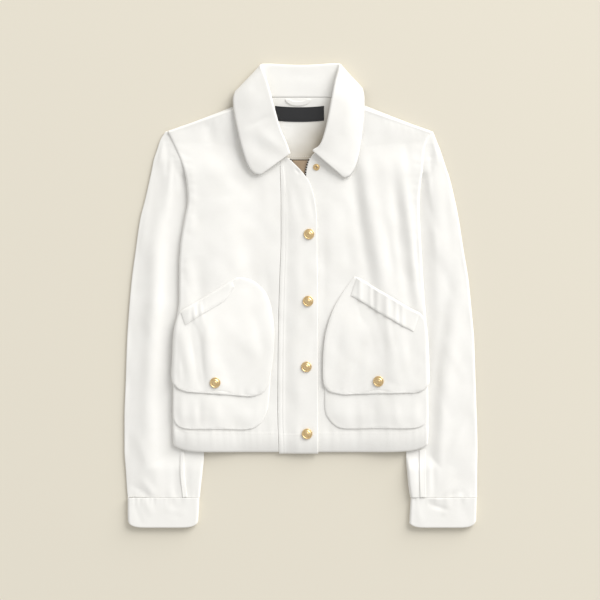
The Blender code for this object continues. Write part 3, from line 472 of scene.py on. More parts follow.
# %% Heights of the back and the fronts
def body_lift(side, x, y):
    """Height of the back's underside: 0 on the surface, more on the sleeve and on the collar's fall."""
    inward = np.clip(SIGN[side] * (side_x(side, y) - x), 0.0, None)
    on_sleeve = SLEEVE_LIFT * smooth(*SLEEVE_LIFT_START, y) * (1.0 - smooth(*SLEEVE_LIFT_REACH, inward))
    on_fall = COLLAR_LIFT * smooth(*COLLAR_LIFT_Y, y) * smooth(*COLLAR_LIFT_X, np.abs(x))
    return np.maximum(on_sleeve, on_fall)


def shoulder_distance(side, x, y):
    """Distance down from the shoulder line, which runs straight from the neck to the sleeve's top."""
    tip = np.array((side_x(side, BODY_SIDE["y"][0]), BODY_SIDE["y"][0]), float)
    neck = np.array((centre_x(side, BODY_CENTRE["y"][0]), BODY_CENTRE["y"][0]), float)
    along = (neck - tip) / np.linalg.norm(neck - tip)
    return np.abs(along[0]) * (tip[1] - y) + np.abs(along[1]) * SIGN[side] * (tip[0] - x)


def hem_y(side, x):
    """Height of the front's hem line at a place across the front."""
    high, low = FRONT_SECTIONS["side"][-1], FRONT_SECTIONS["centre"][-1]
    share = (x - side_x(side, high)) / (centre_x(side, low) - side_x(side, high))
    return low + (high - low) * (1.0 - np.clip(share, 0.0, 1.0)) ** HEM_BOW


def front_height(side, x, y):
    """Middle of the front's cloth above the surface."""
    inward = np.clip(SIGN[side] * (side_x(side, y) - x), 0.0, None)
    below_shoulder = np.clip(shoulder_distance(side, x, y), 0.0, None)
    at_armhole = smooth(*ARMHOLE_DROP_Y, y)
    drop = SIDE_DROP + (ARMHOLE_DROP - SIDE_DROP) * at_armhole
    down = np.maximum(rolled(inward, SIDE_ROLL, drop), rolled(below_shoulder, SIDE_ROLL, SIDE_DROP))
    down = np.maximum(down, rolled(np.clip(y - hem_y(side, x), 0.0, None), HEM_ROLL, HEM_DROP))
    height = body_lift(side, x, y) + TWILL + INNER_GAP + TWILL / 2
    calm = smooth(0.0, 12.0, inward) * smooth(0.0, 14.0, below_shoulder)
    return height + calm * folds(FRONT_FOLDS[side], x, y) - down


def on_back(above):
    """Height field of a thin layer that lies on the back's inner side."""

    def height(x, y):
        lift = np.where(x < 0, body_lift("right", x, y), body_lift("left", x, y))
        return lift + TWILL + above

    return height

# %% [markdown]
# # Small creases
# Washed twill never lies quite smooth. Three small things are added to the height of each panel:
# listed creases, a faint unevenness of the whole cloth, and puckers that fade out beside
# a seam.

# %% Creases, unevenness and puckers
WAVES = 14
WAVE_LENGTHS = (26.0, 120.0)


def ripple(x, y, seed, slope=0.010):
    """Sum of plane waves with random directions. Each is as high as its length times the slope."""
    random = np.random.default_rng(seed)
    total = np.zeros(np.broadcast(x, y).shape)
    for length in np.geomspace(*WAVE_LENGTHS, WAVES):
        angle, phase = random.uniform(0.0, 2.0 * math.pi, 2)
        turn = 2.0 * math.pi / length
        height = slope * length / (2.0 * math.pi) * random.uniform(0.5, 1.0)
        bend = 0.6 * np.sin((x * math.sin(angle) - y * math.cos(angle)) * turn * 0.4 + phase)
        along = x * math.cos(angle) + y * math.sin(angle)
        total = total + height * np.sin(along * turn + phase + bend)
    return total


def puckers(distance, along, reach, pitch, height, seed):
    """Short waves across a seam: uneven sine waves along it, times a bell curve of the distance."""
    random = np.random.default_rng(seed)
    waves = np.zeros(np.broadcast(distance, along).shape)
    for share in (0.7, 1.0, 1.45, 2.3):
        phase, sway = random.uniform(0.0, 2.0 * math.pi, 2)
        uneven = 0.5 + 0.5 * np.sin(along / (pitch * 3.1) + sway)
        waves = waves + uneven * np.sin(2.0 * math.pi * along / (pitch * share) + phase) / 2.4
    return height * waves * np.exp(-((distance / reach) ** 2))

# %% [markdown]
# # A wall of cloth
# This is the one function that makes every piece of cloth. It takes the middle surface, gives it
# its thickness, rounds its open edges, presses a groove where a seam is sewn, and measures the
# piece.

# %% Grids: where the lines of a surface run
ROUND_EDGE = (0.0, 0.07, 0.28, 0.65, 1.2, 2.0)
ROLLED_EDGE = (*ROUND_EDGE, 2.9, 4.0, 5.4)
OPEN_ROUND = 0.9
SEWN_ROUND = 0.3
GROOVE_DEPTH = 0.3
GROOVE_WIDTH = 0.6
LEAST_SHEET = 0.01  # m, the narrowest cloth that cut() prints


def with_seams(edge, *seams):
    """Distances from an edge where a grid needs lines: its rounding, and steps round each seam."""
    near = [seam + step for seam in seams for step in (-1.1, -0.55, 0.0, 0.55, 1.1)]
    kept = [value for value in edge if all(abs(value - other) > 0.3 for other in near)]
    return tuple(sorted(kept + near))


def spread(length, step, start=(0.0,), end=(0.0,)):
    """Distances from 0 to length: the ones asked for near each end, and even steps between them."""
    first, last = start[-1], length - end[-1]
    count = max(2, int(math.ceil((last - first) / step)) + 1)
    return np.concatenate([start, between(first, last, count)[1:-1], length - np.array(end)[::-1]])


def shares_over(length, step, start, end=None):
    """A row of shares, from 0 to 1, with lines close together near both ends of a length."""
    return spread(length, step, start, end or start)[None, :] / length


def lines_down(top, bottom, step, start, end=None):
    """A column of heights from top to bottom, close together near both ends."""
    return top - spread(top - bottom, step, start, end or start)[:, None]


def grid_normals(points, ring=False):
    """Normals of a grid of points, from the differences between its neighbours."""
    along = np.gradient(points, axis=0)
    around = np.roll(points, -1, axis=1) - np.roll(points, 1, axis=1)
    across = around if ring else np.gradient(points, axis=1)
    normals = np.cross(along, across)
    return normals / np.linalg.norm(normals, axis=-1, keepdims=True)


def edge_distances(middle, ring):
    """How far each point lies from each side of the grid, along the cloth."""
    down = np.cumsum(np.linalg.norm(np.diff(middle, axis=0, prepend=middle[:1]), axis=-1), axis=0)
    across = np.cumsum(np.linalg.norm(np.diff(middle, axis=1, prepend=middle[:, :1]), axis=-1), axis=1)
    found = {"start_row": down, "end_row": down[-1:] - down}
    if not ring:
        found.update(start_column=across, end_column=across[:, -1:] - across)
    return found, across, down

# %% Meshes from arrays
def make_mesh(name, points, faces, finish, uv=None):
    """A mesh from an array of points in mm and an array of faces."""
    mesh = bpy.data.meshes.new(name)
    sides = faces.shape[1]
    mesh.vertices.add(len(points))
    mesh.vertices.foreach_set("co", ((points + CENTRE_SHIFT) * MM).astype(np.float32).ravel())
    mesh.loops.add(faces.size)
    mesh.loops.foreach_set("vertex_index", faces.astype(np.int32).ravel())
    mesh.polygons.add(len(faces))
    mesh.polygons.foreach_set("loop_start", np.arange(0, faces.size, sides, dtype=np.int32))
    mesh.update(calc_edges=True)
    if uv is not None:
        layer = mesh.uv_layers.new(name="cloth")
        layer.data.foreach_set("uv", uv[faces].astype(np.float32).ravel())
    mesh.materials.append(finish)
    mesh.shade_smooth()
    made = bpy.data.objects.new(name, mesh)
    bpy.context.scene.collection.objects.link(made)
    return made


def quads_of(grid):
    """The four-sided faces between the neighbours in a grid of point numbers."""
    return np.stack([grid[:-1, :-1], grid[1:, :-1], grid[1:, 1:], grid[:-1, 1:]], -1).reshape(-1, 4)


def volume(points, faces):
    """Six times the volume: the sum of a . (b x c) over half faces. Above 0 if they point outwards."""
    first, second, third, fourth = np.moveaxis(points[faces], 1, 0)
    return np.sum(first * (np.cross(second, third) + np.cross(third, fourth)))

# %% The wall of a piece
def edge_rounding(near, thickness, sewn, soft):
    """sqrt(1 - (1 - distance / reach)^2) at each edge, and 1 inside."""
    reach = {side: thickness * (SEWN_ROUND if side in sewn else OPEN_ROUND) for side in near}
    reach.update(soft or {})
    inside = np.clip(np.minimum.reduce([near[side] / reach[side] for side in near]), 0.0, 1.0)
    return np.sqrt(1.0 - (1.0 - inside) ** 2)


def wall_faces(rows, columns, ring):
    """Faces of two grids, the lower one facing down. They share their open edges. A ring is closed."""
    over = np.arange(rows * columns).reshape(rows, columns)
    under = over + rows * columns
    under[0], under[-1] = over[0], over[-1]
    if ring:
        over, under = (np.hstack([grid, grid[:, :1]]) for grid in (over, under))
    else:
        under[:, 0], under[:, -1] = over[:, 0], over[:, -1]
    faces = np.concatenate([quads_of(over), quads_of(under)[:, ::-1]])
    used, faces = np.unique(faces, return_inverse=True)
    return used, faces.reshape(-1, 4)


def wall(name, middle, thickness, finish, seams=(), slot="twill", raised=0.0, ring=False, sewn=(),
         soft=None):
    """top = middle + normal x (half + raised - grooves), bottom = middle - normal x half.

    An open edge is rounded over nearly the cloth's thickness, a sewn one over much less. A soft one
    slopes down over its own reach to a flat underside, as where a layer is stitched down on the next.
    """
    normal = grid_normals(middle, ring)
    if not ring and normal[..., 2].mean() < 0:
        normal = -normal
    near, across, down = edge_distances(middle, ring)
    rounding = edge_rounding(near, thickness, sewn, soft)
    offsets = [(near[side] - inset) / GROOVE_WIDTH for side, inset in seams]
    grooves = sum((GROOVE_DEPTH * np.exp(-(offset**2)) for offset in offsets), 0.0)
    half = thickness / 2 * rounding
    if soft:
        middle = middle - normal * (thickness / 2 - half)[..., None]
    top = middle + normal * (half + (raised - grooves) * rounding)[..., None]
    bottom = middle - normal * half[..., None]

    used, faces = wall_faces(*middle.shape[:2], ring)
    points = np.concatenate([top.reshape(-1, 3), bottom.reshape(-1, 3)])[used]
    if volume(points, faces) < 0:
        faces = faces[:, ::-1]
    flat = np.stack([across - across[:, across.shape[1] // 2, None], -down], -1).reshape(-1, 2)
    made = make_mesh(name, points, faces, finish, np.concatenate([flat, flat])[used])
    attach(made, "root")
    size = (float(np.max(across[:, -1])) * MM, float(np.max(down[-1])) * MM)
    measured = {"size": size, "area": area_of(middle)}
    return {"object": made, "top": top, "normal": normal, "near": near, **measured}


def area_of(middle):
    """Sum of |a x b| over the grid's cells, a and b being the two sides of a cell, in square metres."""
    side_a = middle[1:, :-1] - middle[:-1, :-1]
    side_b = middle[:-1, 1:] - middle[:-1, :-1]
    return np.linalg.norm(np.cross(side_a, side_b), axis=-1).sum() * MM * MM

# %% What a piece is cut from
def cut(piece):
    width, length = (max(value, LEAST_SHEET) for value in piece["size"])
    area = min(piece["area"], width * length)
    print(f"{piece['object'].name}: cut from {width / MM:.0f} x {length / MM:.0f} mm, {area:.4f} m2")

# %% [markdown]
# # Stitches
# A topstitched seam is a row of short threads that dive into the cloth at both ends. Each stitch
# is one small closed tube with five sides. All the stitches of a piece are one mesh: the same few
# points, turned and moved to every station of the seam at once.

# %% Sewing along an edge
STITCH = {"length": 2.5, "pitch": 3.3, "radius": 0.26}
STITCH_SIDES = 5
# A stitch from end to end. Its end rings are tiny, and become points once the mesh is made.
STITCH_PROFILE = table(
    "along radius lift",
    (-1.0, 0.02, -0.5),
    (-0.86, 0.75, -0.15),
    (0.0, 1.0, 0.25),
    (0.86, 0.75, -0.15),
    (1.0, 0.02, -0.5),
)


def line_in(piece, side, inset):
    """Points and normals of a line on the outer face, at a distance in from one edge of the piece."""
    reach, top, normal = piece["near"][side], piece["top"], piece["normal"]
    if side.endswith("row"):
        reach, top, normal = reach.T, top.swapaxes(0, 1), normal.swapaxes(0, 1)
    if side.startswith("end"):
        reach, top, normal = reach[:, ::-1], top[:, ::-1], normal[:, ::-1]
    k = np.clip((reach < inset).sum(1), 1, reach.shape[1] - 1)
    i = np.arange(len(k))
    share = ((inset - reach[i, k - 1]) / (reach[i, k] - reach[i, k - 1]))[:, None]
    return [grid[i, k - 1] * (1 - share) + grid[i, k] * share for grid in (top, normal)]


def stitch_tubes(points, normals, start, end, size):
    """Tubes along a line: one at every pitch, each turned to the line and to the cloth's normal."""
    run = np.concatenate([[0.0], np.cumsum(np.linalg.norm(np.diff(points, axis=0), axis=-1))])
    stations = np.arange(start + size["pitch"], run[-1] - end - size["pitch"], size["pitch"])
    if len(stations) == 0:
        return np.zeros((0, 3)), np.zeros((0, 4), int)
    read = lambda places, values: np.stack([np.interp(places, run, column) for column in values.T], -1)
    at, ahead, up = read(stations, points), read(stations + 0.5, points), read(stations, normals)
    along = (ahead - at) / np.linalg.norm(ahead - at, axis=-1, keepdims=True)
    aside = np.cross(up, along)
    aside /= np.linalg.norm(aside, axis=-1, keepdims=True)
    up = np.cross(along, aside)
    angle = 2 * math.pi * np.arange(STITCH_SIDES) / STITCH_SIDES
    length, radius, lift = (column[:, None] for column in STITCH_PROFILE.values())
    radius = radius * size["radius"]
    a = np.broadcast_to(length * size["length"] / 2, (len(length), STITCH_SIDES)).reshape(-1, 1)
    b = (radius * np.cos(angle)).reshape(-1, 1)
    c = (radius * np.sin(angle) + lift * size["radius"]).reshape(-1, 1)
    tubes = at[:, None] + along[:, None] * a + aside[:, None] * b + up[:, None] * c
    rings = np.arange(len(length) * STITCH_SIDES).reshape(-1, STITCH_SIDES)
    turned = np.roll(rings, -1, axis=1)
    faces = np.stack([rings[:-1], turned[:-1], turned[1:], rings[1:]], -1).reshape(-1, 4)
    block = tubes.shape[1]
    faces = (faces[None] + block * np.arange(len(stations))[:, None, None]).reshape(-1, 4)
    return tubes.reshape(-1, 3), faces

# %% Rows of stitches, and a whole piece
def sew(name, piece, *rows, size=STITCH, finish=None, slot="twill"):
    """Stitch rows on a piece. Each is (side, inset, start, end): the ends are left unsewn that far."""
    points, faces, count = [], [], 0
    for side, inset, start, end in rows:
        tubes, quads = stitch_tubes(*line_in(piece, side, inset), start, end, size)
        points.append(tubes)
        faces.append(quads + count)
        count += len(tubes)
    made = make_mesh(name, np.concatenate(points), np.concatenate(faces), finish or thread)
    close_tubes(made)
    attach(made, "root")
    return made


def close_tubes(made):
    """Merges the tiny ring at each end of every tube into one point, and points the faces outwards."""
    mesh = bmesh.new()
    mesh.from_mesh(made.data)
    bmesh.ops.remove_doubles(mesh, verts=mesh.verts, dist=0.03 * MM)
    bmesh.ops.recalc_face_normals(mesh, faces=mesh.faces)
    mesh.to_mesh(made.data)
    mesh.free()
    made.data.shade_smooth()


def make_piece(name, middle, thickness, finish, held, rests_on, sewing=(), seams=None, node=None,
               **options):
    """A piece of cloth, whole: its wall, its stitches, the solid it stands for, and its cut.

    Each row of stitches lies in a seam, unless the seams are given.
    """
    seams = [row[:2] for row in sewing] if seams is None else seams
    piece = wall(f"{name}_cloth", middle, thickness, finish, seams=seams, **options)
    stitches = [sew(f"{name}_stitches", piece, *sewing)] if sewing else []
    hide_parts(node or name)
    cut(piece)

# %% [markdown]
# # The fronts
# Each front runs from its armhole and side seam to its centre edge. The hem is turned up and
# stitched 30 mm above the fold, which pulls it into small puckers, and the shoulder seam lies a
# little to the front.

# %% Places and creases of the fronts
STEP = 2.6  # mm between the lines of a large panel
FINE_STEP = 1.6  # and of a small one
EDGE_SEAM = 1.6  # a narrow piece is sewn this far in from its edge
FRONT_WIDTH = 150.0
HEM_DEPTH = 29.5
SHOULDER_SEAM = 6.5
YOKE_HEIGHT = 0.35
HEM_TOP = -203.0  # the hem is turned up and stitched here
HEM_BOW_Y = (-190.0, -222.0)  # the sections bend to the hem's line between these heights
HEM_EXTRA = 0.5
FRONT_CREASES = {
    "right": creases(
        (-172, 150, -150, 100, 9, -0.6), (-120, 255, -100, 215, 9, -0.5), (-62, 215, -48, 120, 9, 0.4),
        (-176, 40, -162, -10, 6, -0.6), (-150, 225, -128, 150, 12, 0.5), (-56, 60, -44, -40, 7, -0.5),
        (-112, 190, -70, 150, 10, -0.5), (-60, -150, -50, -228, 7, -0.5),
        (-95, -198, -92, -236, 5, -0.5), (-140, -196, -147, -236, 6, -0.7),
        (-165, -196, -172, -232, 5, 0.6),
    ),
    "left": creases(
        (158, 235, 162, 185, 6, -0.7), (92, 200, 102, 60, 7, 0.8), (128, 120, 140, 20, 6, -0.9),
        (60, 150, 76, 40, 10, -0.6), (150, 120, 158, 30, 5, 0.8), (70, 262, 92, 236, 7, -0.6),
        (40, 160, 48, -20, 9, 0.5), (172, 110, 178, 0, 5, -0.8), (120, 20, 170, -30, 7, 0.5),
        (60, -196, 58, -236, 5, -0.5), (110, -196, 104, -236, 6, 0.6), (150, -196, 156, -236, 6, -0.7),
        (36, 100, 34, -60, 5, -0.4),
    ),
}

# %% Surface of a front
def front_surface(side, x, y):
    """Height of a front with its small creases and puckers. They fade out at its rolled edges."""
    inward = np.clip(SIGN[side] * (side_x(side, y) - x), 0.0, None)
    below = np.clip(shoulder_distance(side, x, y), 0.0, None)
    calm = smooth(0.0, 9.0, inward) * smooth(0.0, 10.0, below) * smooth(0.0, 7.0, y - hem_y(side, x))
    fine = folds(FRONT_CREASES[side], x, y) + ripple(x, y, 11)
    at_armhole = smooth(150.0, 175.0, y)
    fine += puckers(inward - 6.0, y, reach=9.0, pitch=15.0, height=0.35, seed=5) * at_armhole
    fine += puckers(inward - 5.0, y, reach=8.0, pitch=21.0, height=0.25, seed=8)
    fine += puckers(y - HEM_TOP, x, reach=8.0, pitch=14.0, height=0.45, seed=21)
    fine += puckers(below - SHOULDER_SEAM, x, reach=7.0, pitch=15.0, height=0.35, seed=33)
    return front_height(side, x, y) + calm * fine


def front_points(side, rows, share):
    """Places on a front: rows run down its sections, share runs from its side to its centre edge."""
    ends = section_rows(FRONT_SECTIONS, rows)
    side_y, centre_y = ends["side"][:, None], ends["centre"][:, None]
    bow = 1.0 + (HEM_BOW - 1.0) * smooth(*HEM_BOW_Y, side_y)
    x = side_x(side, side_y) + (centre_x(side, centre_y) - side_x(side, side_y)) * share
    y = centre_y + (side_y - centre_y) * (1.0 - share) ** bow
    return x, y


def rows_for(step, places, start, end):
    """Shares down a piece, evenly spread along the line half way across it. places gives x and y."""
    fine = between(0.0, 1.0, 600)
    x, y = (found[:, 0] for found in places(fine, np.array([[0.5]])))
    run = np.concatenate([[0.0], np.cumsum(np.hypot(np.diff(x), np.diff(y)))])
    return np.interp(spread(run[-1], step, start, end), run, fine)


def front_of(side):
    """The front's surface as a height field, for the pieces that lie on it."""
    return lambda x, y: front_surface(side, x, y)

# %% Make the fronts
def hem_step(depth):
    """The hem is two layers thick, so the cloth steps up a little at its stitching."""
    return 0.6 * HEM_EXTRA * smooth(HEM_DEPTH + 2.6, HEM_DEPTH - 0.6, depth)


def front(side):
    """A front: its hem and the cloth above its shoulder seam are a little thicker."""
    top, hem = with_seams(ROLLED_EDGE, SHOULDER_SEAM), with_seams(ROUND_EDGE, HEM_DEPTH)
    rows = rows_for(STEP, lambda down, across: front_points(side, down, across), top, hem)
    x, y = front_points(side, rows, shares_over(FRONT_WIDTH, STEP, ROLLED_EDGE, ROUND_EDGE))
    middle = np.stack([x, y, front_surface(side, x, y)], -1)
    depth = edge_distances(middle, False)[0]
    yoke = YOKE_HEIGHT * smooth(SHOULDER_SEAM + 0.6, SHOULDER_SEAM - 0.4, depth["start_row"])
    raised = hem_step(depth["end_row"]) + yoke
    seams = [("end_row", HEM_DEPTH), ("start_row", SHOULDER_SEAM)]
    sewn = ("start_column", "end_column") if side == "right" else ("start_column",)
    make_piece(f"front_{side}", middle, TWILL, twill, "laid", ["back"],
               [("end_row", HEM_DEPTH, 2.0, 1.0)], seams=seams, raised=raised, sewn=sewn)


for side in SIGN:
    front(side)

# %% [markdown]
# # The back, the facing, the lining, the label and the loop
# The back lies below everything and shows at the neck, the hem and from below. Inside the neck, a
# white facing carries the label and the hanger loop, and the tan lining starts under it.

# %% Make the back
PLAIN_STEP = 5.0  # mm between the lines of a panel that shows little
BACK_WIDTH = 385.0


def back_points(side_y, share):
    """Places on the back: side_y runs down its sides, share runs from its right side to its left."""
    x = side_x("right", side_y) + (side_x("left", side_y) - side_x("right", side_y)) * share
    top_x = x[0]
    slope_r = (top_x - BODY_SIDE["right"][0]) / (-BACK_NECK_HALF - BODY_SIDE["right"][0])
    slope_l = (top_x - BODY_SIDE["left"][0]) / (BACK_NECK_HALF - BODY_SIDE["left"][0])
    neck_rise = (BACK_NECK_Y - side_y[0, 0]) * np.clip(np.minimum(slope_r, slope_l), 0.0, 1.0)
    hem_fall = (FRONT_SECTIONS["centre"][-1] + BACK_HEM_UP) - side_y[-1, 0]
    hem_fall = hem_fall * (1.0 - np.abs(2.0 * share - 1.0) ** HEM_BOW)
    down = (side_y[0, 0] - side_y) / (side_y[0, 0] - side_y[-1, 0])
    y = side_y + neck_rise * (1.0 - down) + hem_fall * down
    return x, y


def level_middle(height, x, y):
    """A piece's middle surface: its places, each at its height."""
    return np.stack([x + 0 * y, y + 0 * x, height(x, y) + 0 * x], -1)


def back():
    """One panel from side to side, whose straight sections bend to the neck and to the hem."""
    top, bottom = BODY_SIDE["y"][0], BODY_SIDE["y"][-1] + BACK_HEM_UP
    side_y = lines_down(top, bottom, PLAIN_STEP, ROUND_EDGE)
    x, y = back_points(side_y, shares_over(BACK_WIDTH, PLAIN_STEP, ROUND_EDGE))
    make_piece("back", level_middle(on_back(-TWILL / 2), x, y), TWILL, twill, "laid",
               ["sleeve_under_right", "sleeve_under_left"])


back()

# %% Places inside the neck
FACING_BOTTOM = 205.5
LINING_BOTTOM = 140.0
LINING_HALF = 62.0
# The facing inside the back's neck.
FACING = table(
    "y right left",
    (BACK_NECK_Y - 0.2, -56, 54),
    (288, -60, 58),
    (276, -64, 62),
    (262, -70, 68),
    (FACING_BOTTOM, -74, 72),
)
FACING_WIDTH = 140.0
FACING_HEM = 5.0
FACING_LIFT = 0.9
FACING_LIFT_Y = (216.0, 207.0)
NECK_STEP = 2.5
NECK_LAY = LAY_GAP - 0.1  # the facing and the lining lie this far above the back
ON_FACING = NECK_LAY + THIN + SEAM_GAP + 0.1  # and the label and the loop lie on the facing
LABEL = {"low": (-38.5, 264.0), "high": (35.0, 286.0), "sag": 2.0}
LOOP = {"centre": (-4.0, 296.4), "half_width": 19.5, "depth": 10.6, "ribbon": 7.4, "thick": 1.2}
NECK_RISE = 1.7  # the facing comes up to the level of the collar's stand at their seam
NECK_RISE_Y = (280.0, 297.0)


def on_neck(above):
    """Height field of a thin layer in the neck, which rises to the neck seam."""
    return lambda x, y: on_back(above)(x, y) + NECK_RISE * smooth(*NECK_RISE_Y, y)

# %% Make the inside of the neck
def facing():
    """Straight rows between its curved right and left edge. The free hem stands off a little."""
    y = lines_down(FACING["y"][0], FACING_BOTTOM, NECK_STEP, ROUND_EDGE)
    left, right = through(FACING["y"], FACING["left"], y), through(FACING["y"], FACING["right"], y)
    x = right + (left - right) * shares_over(FACING_WIDTH, NECK_STEP, ROUND_EDGE)

    def laid(a, b):
        waves = 0.5 * np.clip(ripple(a, b, 3), 0.0, None)
        return on_neck(NECK_LAY + THIN / 2)(a, b) + waves + FACING_LIFT * smooth(*FACING_LIFT_Y, b)

    make_piece("facing", level_middle(laid, x, y), THIN, facing_cotton, "laid", ["back_cloth"],
               [("end_row", FACING_HEM, 2.0, 2.0)], seams=(), node="back_facing", sewn=("start_row",))


def lining():
    """A rectangle of satin below the facing, raised by the upper halves of a ripple."""
    across = between(-LINING_HALF, LINING_HALF, 50)
    x, y = np.meshgrid(across, between(FACING_BOTTOM - SEAM_GAP, LINING_BOTTOM, 28))

    def wavy(a, b):
        return on_back(NECK_LAY + THIN / 2)(a, b) + 0.8 * np.clip(ripple(a, b, 6, 0.03), 0.0, None)

    make_piece("lining", level_middle(wavy, x, y), THIN, lining_satin, "laid", ["back_cloth"],
               node="back_lining", slot="lining")


def neck_label():
    """A rectangle that sags by a parabola, sewn down along all four edges."""
    (x0, y0), (x1, y1) = LABEL["low"], LABEL["high"]
    along, down = (spread(size, FINE_STEP, ROUND_EDGE, ROUND_EDGE) for size in (x1 - x0, y1 - y0))
    x, y = np.meshgrid(x0 + along, y1 - down)
    y = y - LABEL["sag"] * (1.0 - (2.0 * (x - x0) / (x1 - x0) - 1.0) ** 2)
    seams = [(edge, EDGE_SEAM) for edge in ("start_row", "end_row", "start_column", "end_column")]
    make_piece("label", level_middle(on_neck(ON_FACING + THIN / 2), x, y), THIN, label_satin, "laid",
               ["facing_cloth"], node="neck_label", slot="label", seams=seams)


def hanger_loop():
    """A ribbon bent to the lower half of an ellipse: x = half width x cos a, y = depth x sin a."""
    angle = between(math.pi, 2 * math.pi, 60)[:, None]
    inside = spread(LOOP["ribbon"], 1.0, ROUND_EDGE[:4], ROUND_EDGE[:4])[None, :]
    x = LOOP["centre"][0] + (LOOP["half_width"] - inside) * np.cos(angle)
    y = LOOP["centre"][1] + (LOOP["depth"] - inside * 0.95) * np.sin(angle)
    middle = level_middle(on_neck(ON_FACING + LOOP["thick"] / 2), x, y)
    make_piece("loop", middle, LOOP["thick"], band_twill, "laid", ["facing_cloth"], node="hanger_loop")


facing()
lining()
neck_label()
hanger_loop()

# %% [markdown]
# # The placket
# A strip of twill covers the zip. Two rows of stitches hold its seam down on the wearer's right
# front, and it lies on the left front. Its top corner is turned back.

# %% Places of the placket
# The placket with the snaps. Its top corner is turned back, so its free edge starts as a slant.
PLACKET = table(
    "y edge",
    (209, -21),
    (202.5, -12.8),
    (196.5, -6.7),
    (190.5, -0.8),
    (183.5, 5.2),
    (174, 11.6),
    (164, 16.2),
    (139, 22),
    (115, 24.3),
    (55, 25),
    (-5, 25.8),
    (-80, 25.8),
    (-170, 25.8),
    (-235.2, 26.2),
)
PLACKET_TWILL = 1.4
PLACKET_WIDTH = 56.0
PLACKET_WELT = 9.0  # double-stitched seam along the placket
WELT_HEIGHT = 0.7
PLACKET_HEM_DOWN = 2.2  # its hem comes down this far in front of the fronts' hem
PLACKET_HEM_Y = (-205.0, -222.0)
PLACKET_RISE = 2.4  # the placket lies on the left front
PLACKET_RISE_X = (-26.0, -1.0)
PLACKET_SEAM = 1.2  # the first row of stitches; the second is at the welt
WELT_TOP_Y = (201.0, 193.0)
FREE_EDGE_LINE = 6.5  # the grid has close lines this far in from the free edge
PLACKET_CREASES = creases(
    (-22, 208, 12, 172, 4.5, 0.45), (-9, 192, -1, 184, 2.2, -1.1), (-6, 168, 0, 112, 7, -0.8),
    (12, 160, 22, 108, 5, -0.6), (-18, 175, -12, 120, 5, 0.4), (4, 70, 6, 20, 9, -0.3),
    (16, 60, 20, -90, 8, 0.4), (-14, -30, -10, -150, 8, 0.3), (20, -40, 16, -100, 5, -0.3),
)


def placket_points(y, share):
    """Places on the placket: share runs from its seam to its free edge."""
    seam = centre_x("right", y) + SEAM_GAP + 0.1
    free = through(PLACKET["y"], PLACKET["edge"], y)
    return seam + (free - seam) * share


def placket_surface(x, y):
    """The fronts' height, raised over the left one. The hem comes down in front of theirs."""
    y = y + PLACKET_HEM_DOWN * smooth(*PLACKET_HEM_Y, y)
    rise = PLACKET_RISE * smooth(*PLACKET_RISE_X, x)
    under = np.where(x < 0, front_surface("right", x, y), front_surface("left", x, y))
    return under + rise + folds(PLACKET_CREASES, x, y)

# %% Make the placket
def placket_y(shares):
    """Heights at shares of the way down the placket."""
    return section_rows({"y": PLACKET["y"]}, shares)["y"][:, None]


def placket():
    """A strip with a raised welt along its seam, and a hem as thick as the fronts'."""
    rows = rows_for(STEP, lambda down, across: (0 * down[:, None], placket_y(down)), ROUND_EDGE,
                    with_seams(ROUND_EDGE, HEM_DEPTH))
    y = placket_y(rows)
    seams = (PLACKET_SEAM, PLACKET_WELT - 1.8)
    welt_edge = tuple(PLACKET_WELT + step for step in (-0.5, 0.0, 0.5, 1.2))
    start = tuple(sorted(set(with_seams(ROUND_EDGE, *seams) + welt_edge)))
    share = shares_over(PLACKET_WIDTH, STEP, start, with_seams(ROUND_EDGE, FREE_EDGE_LINE))
    middle = level_middle(placket_surface, placket_points(y, share), y)
    depth = edge_distances(middle, False)[0]
    welt = 0.5 * WELT_HEIGHT * smooth(PLACKET_WELT + 1.8, PLACKET_WELT - 1.2, share * PLACKET_WIDTH)
    raised = welt * smooth(*WELT_TOP_Y, y) + hem_step(depth["end_row"])
    sewing = [("start_column", seam, 10.0, 1.0) for seam in seams] + [("end_row", HEM_DEPTH, 1.0, 1.0)]
    make_piece("placket", middle, PLACKET_TWILL, twill, "laid",
               ["front_right_cloth", "front_left_cloth"], sewing, node="front_placket", raised=raised,
               sewn=("start_column",))


placket()

# %% [markdown]
# # The zip
# The tapes run down under the placket. Above the split they lie open in a V, where their old
# brass teeth show. A tooth is a small block clamped on the tape's edge, made as a short thick
# stitch.

# %% Make the zip
ZIP_TAPE = 13.0
ZIP_TEETH_REACH = 1.6  # the teeth stand out past the front's edge
ZIP_SPLIT_Y = 181.0  # the zip is open above this height
ZIP_TOP = 208.0
ZIP_CORNER_X = -17.0  # top end of the right tape, turned back with the placket
ZIP_BOTTOM = -224.0
TOOTHLESS = 330.0  # the lower end of a tape, where the placket hides its teeth
TOOTH = {"pitch": 3.8, "length": 2.5, "radius": 1.5}
TOOTH_INSET = 0.9


def zip_teeth_x(side, y):
    """The edge of a zip tape. The right one leaves the left one above the split, and slants away."""
    if side == "left":
        return centre_x("left", y) - ZIP_TEETH_REACH
    closed = centre_x("left", np.minimum(y, ZIP_SPLIT_Y)) - ZIP_TEETH_REACH - 0.4
    away = np.clip((y - ZIP_SPLIT_Y) / (ZIP_TOP - ZIP_SPLIT_Y), 0.0, 1.0)
    return closed + (ZIP_CORNER_X - closed) * away


def zip_height(side, x, y):
    """Middle of a zip tape: the left one follows the front above it, the right one lies level."""
    under = TWILL / 2 + LAY_GAP - 0.1 + THIN / 2
    level = TWILL + INNER_GAP + TWILL / 2
    return (front_height("left", x, y) if side == "left" else level + 0 * x) - under


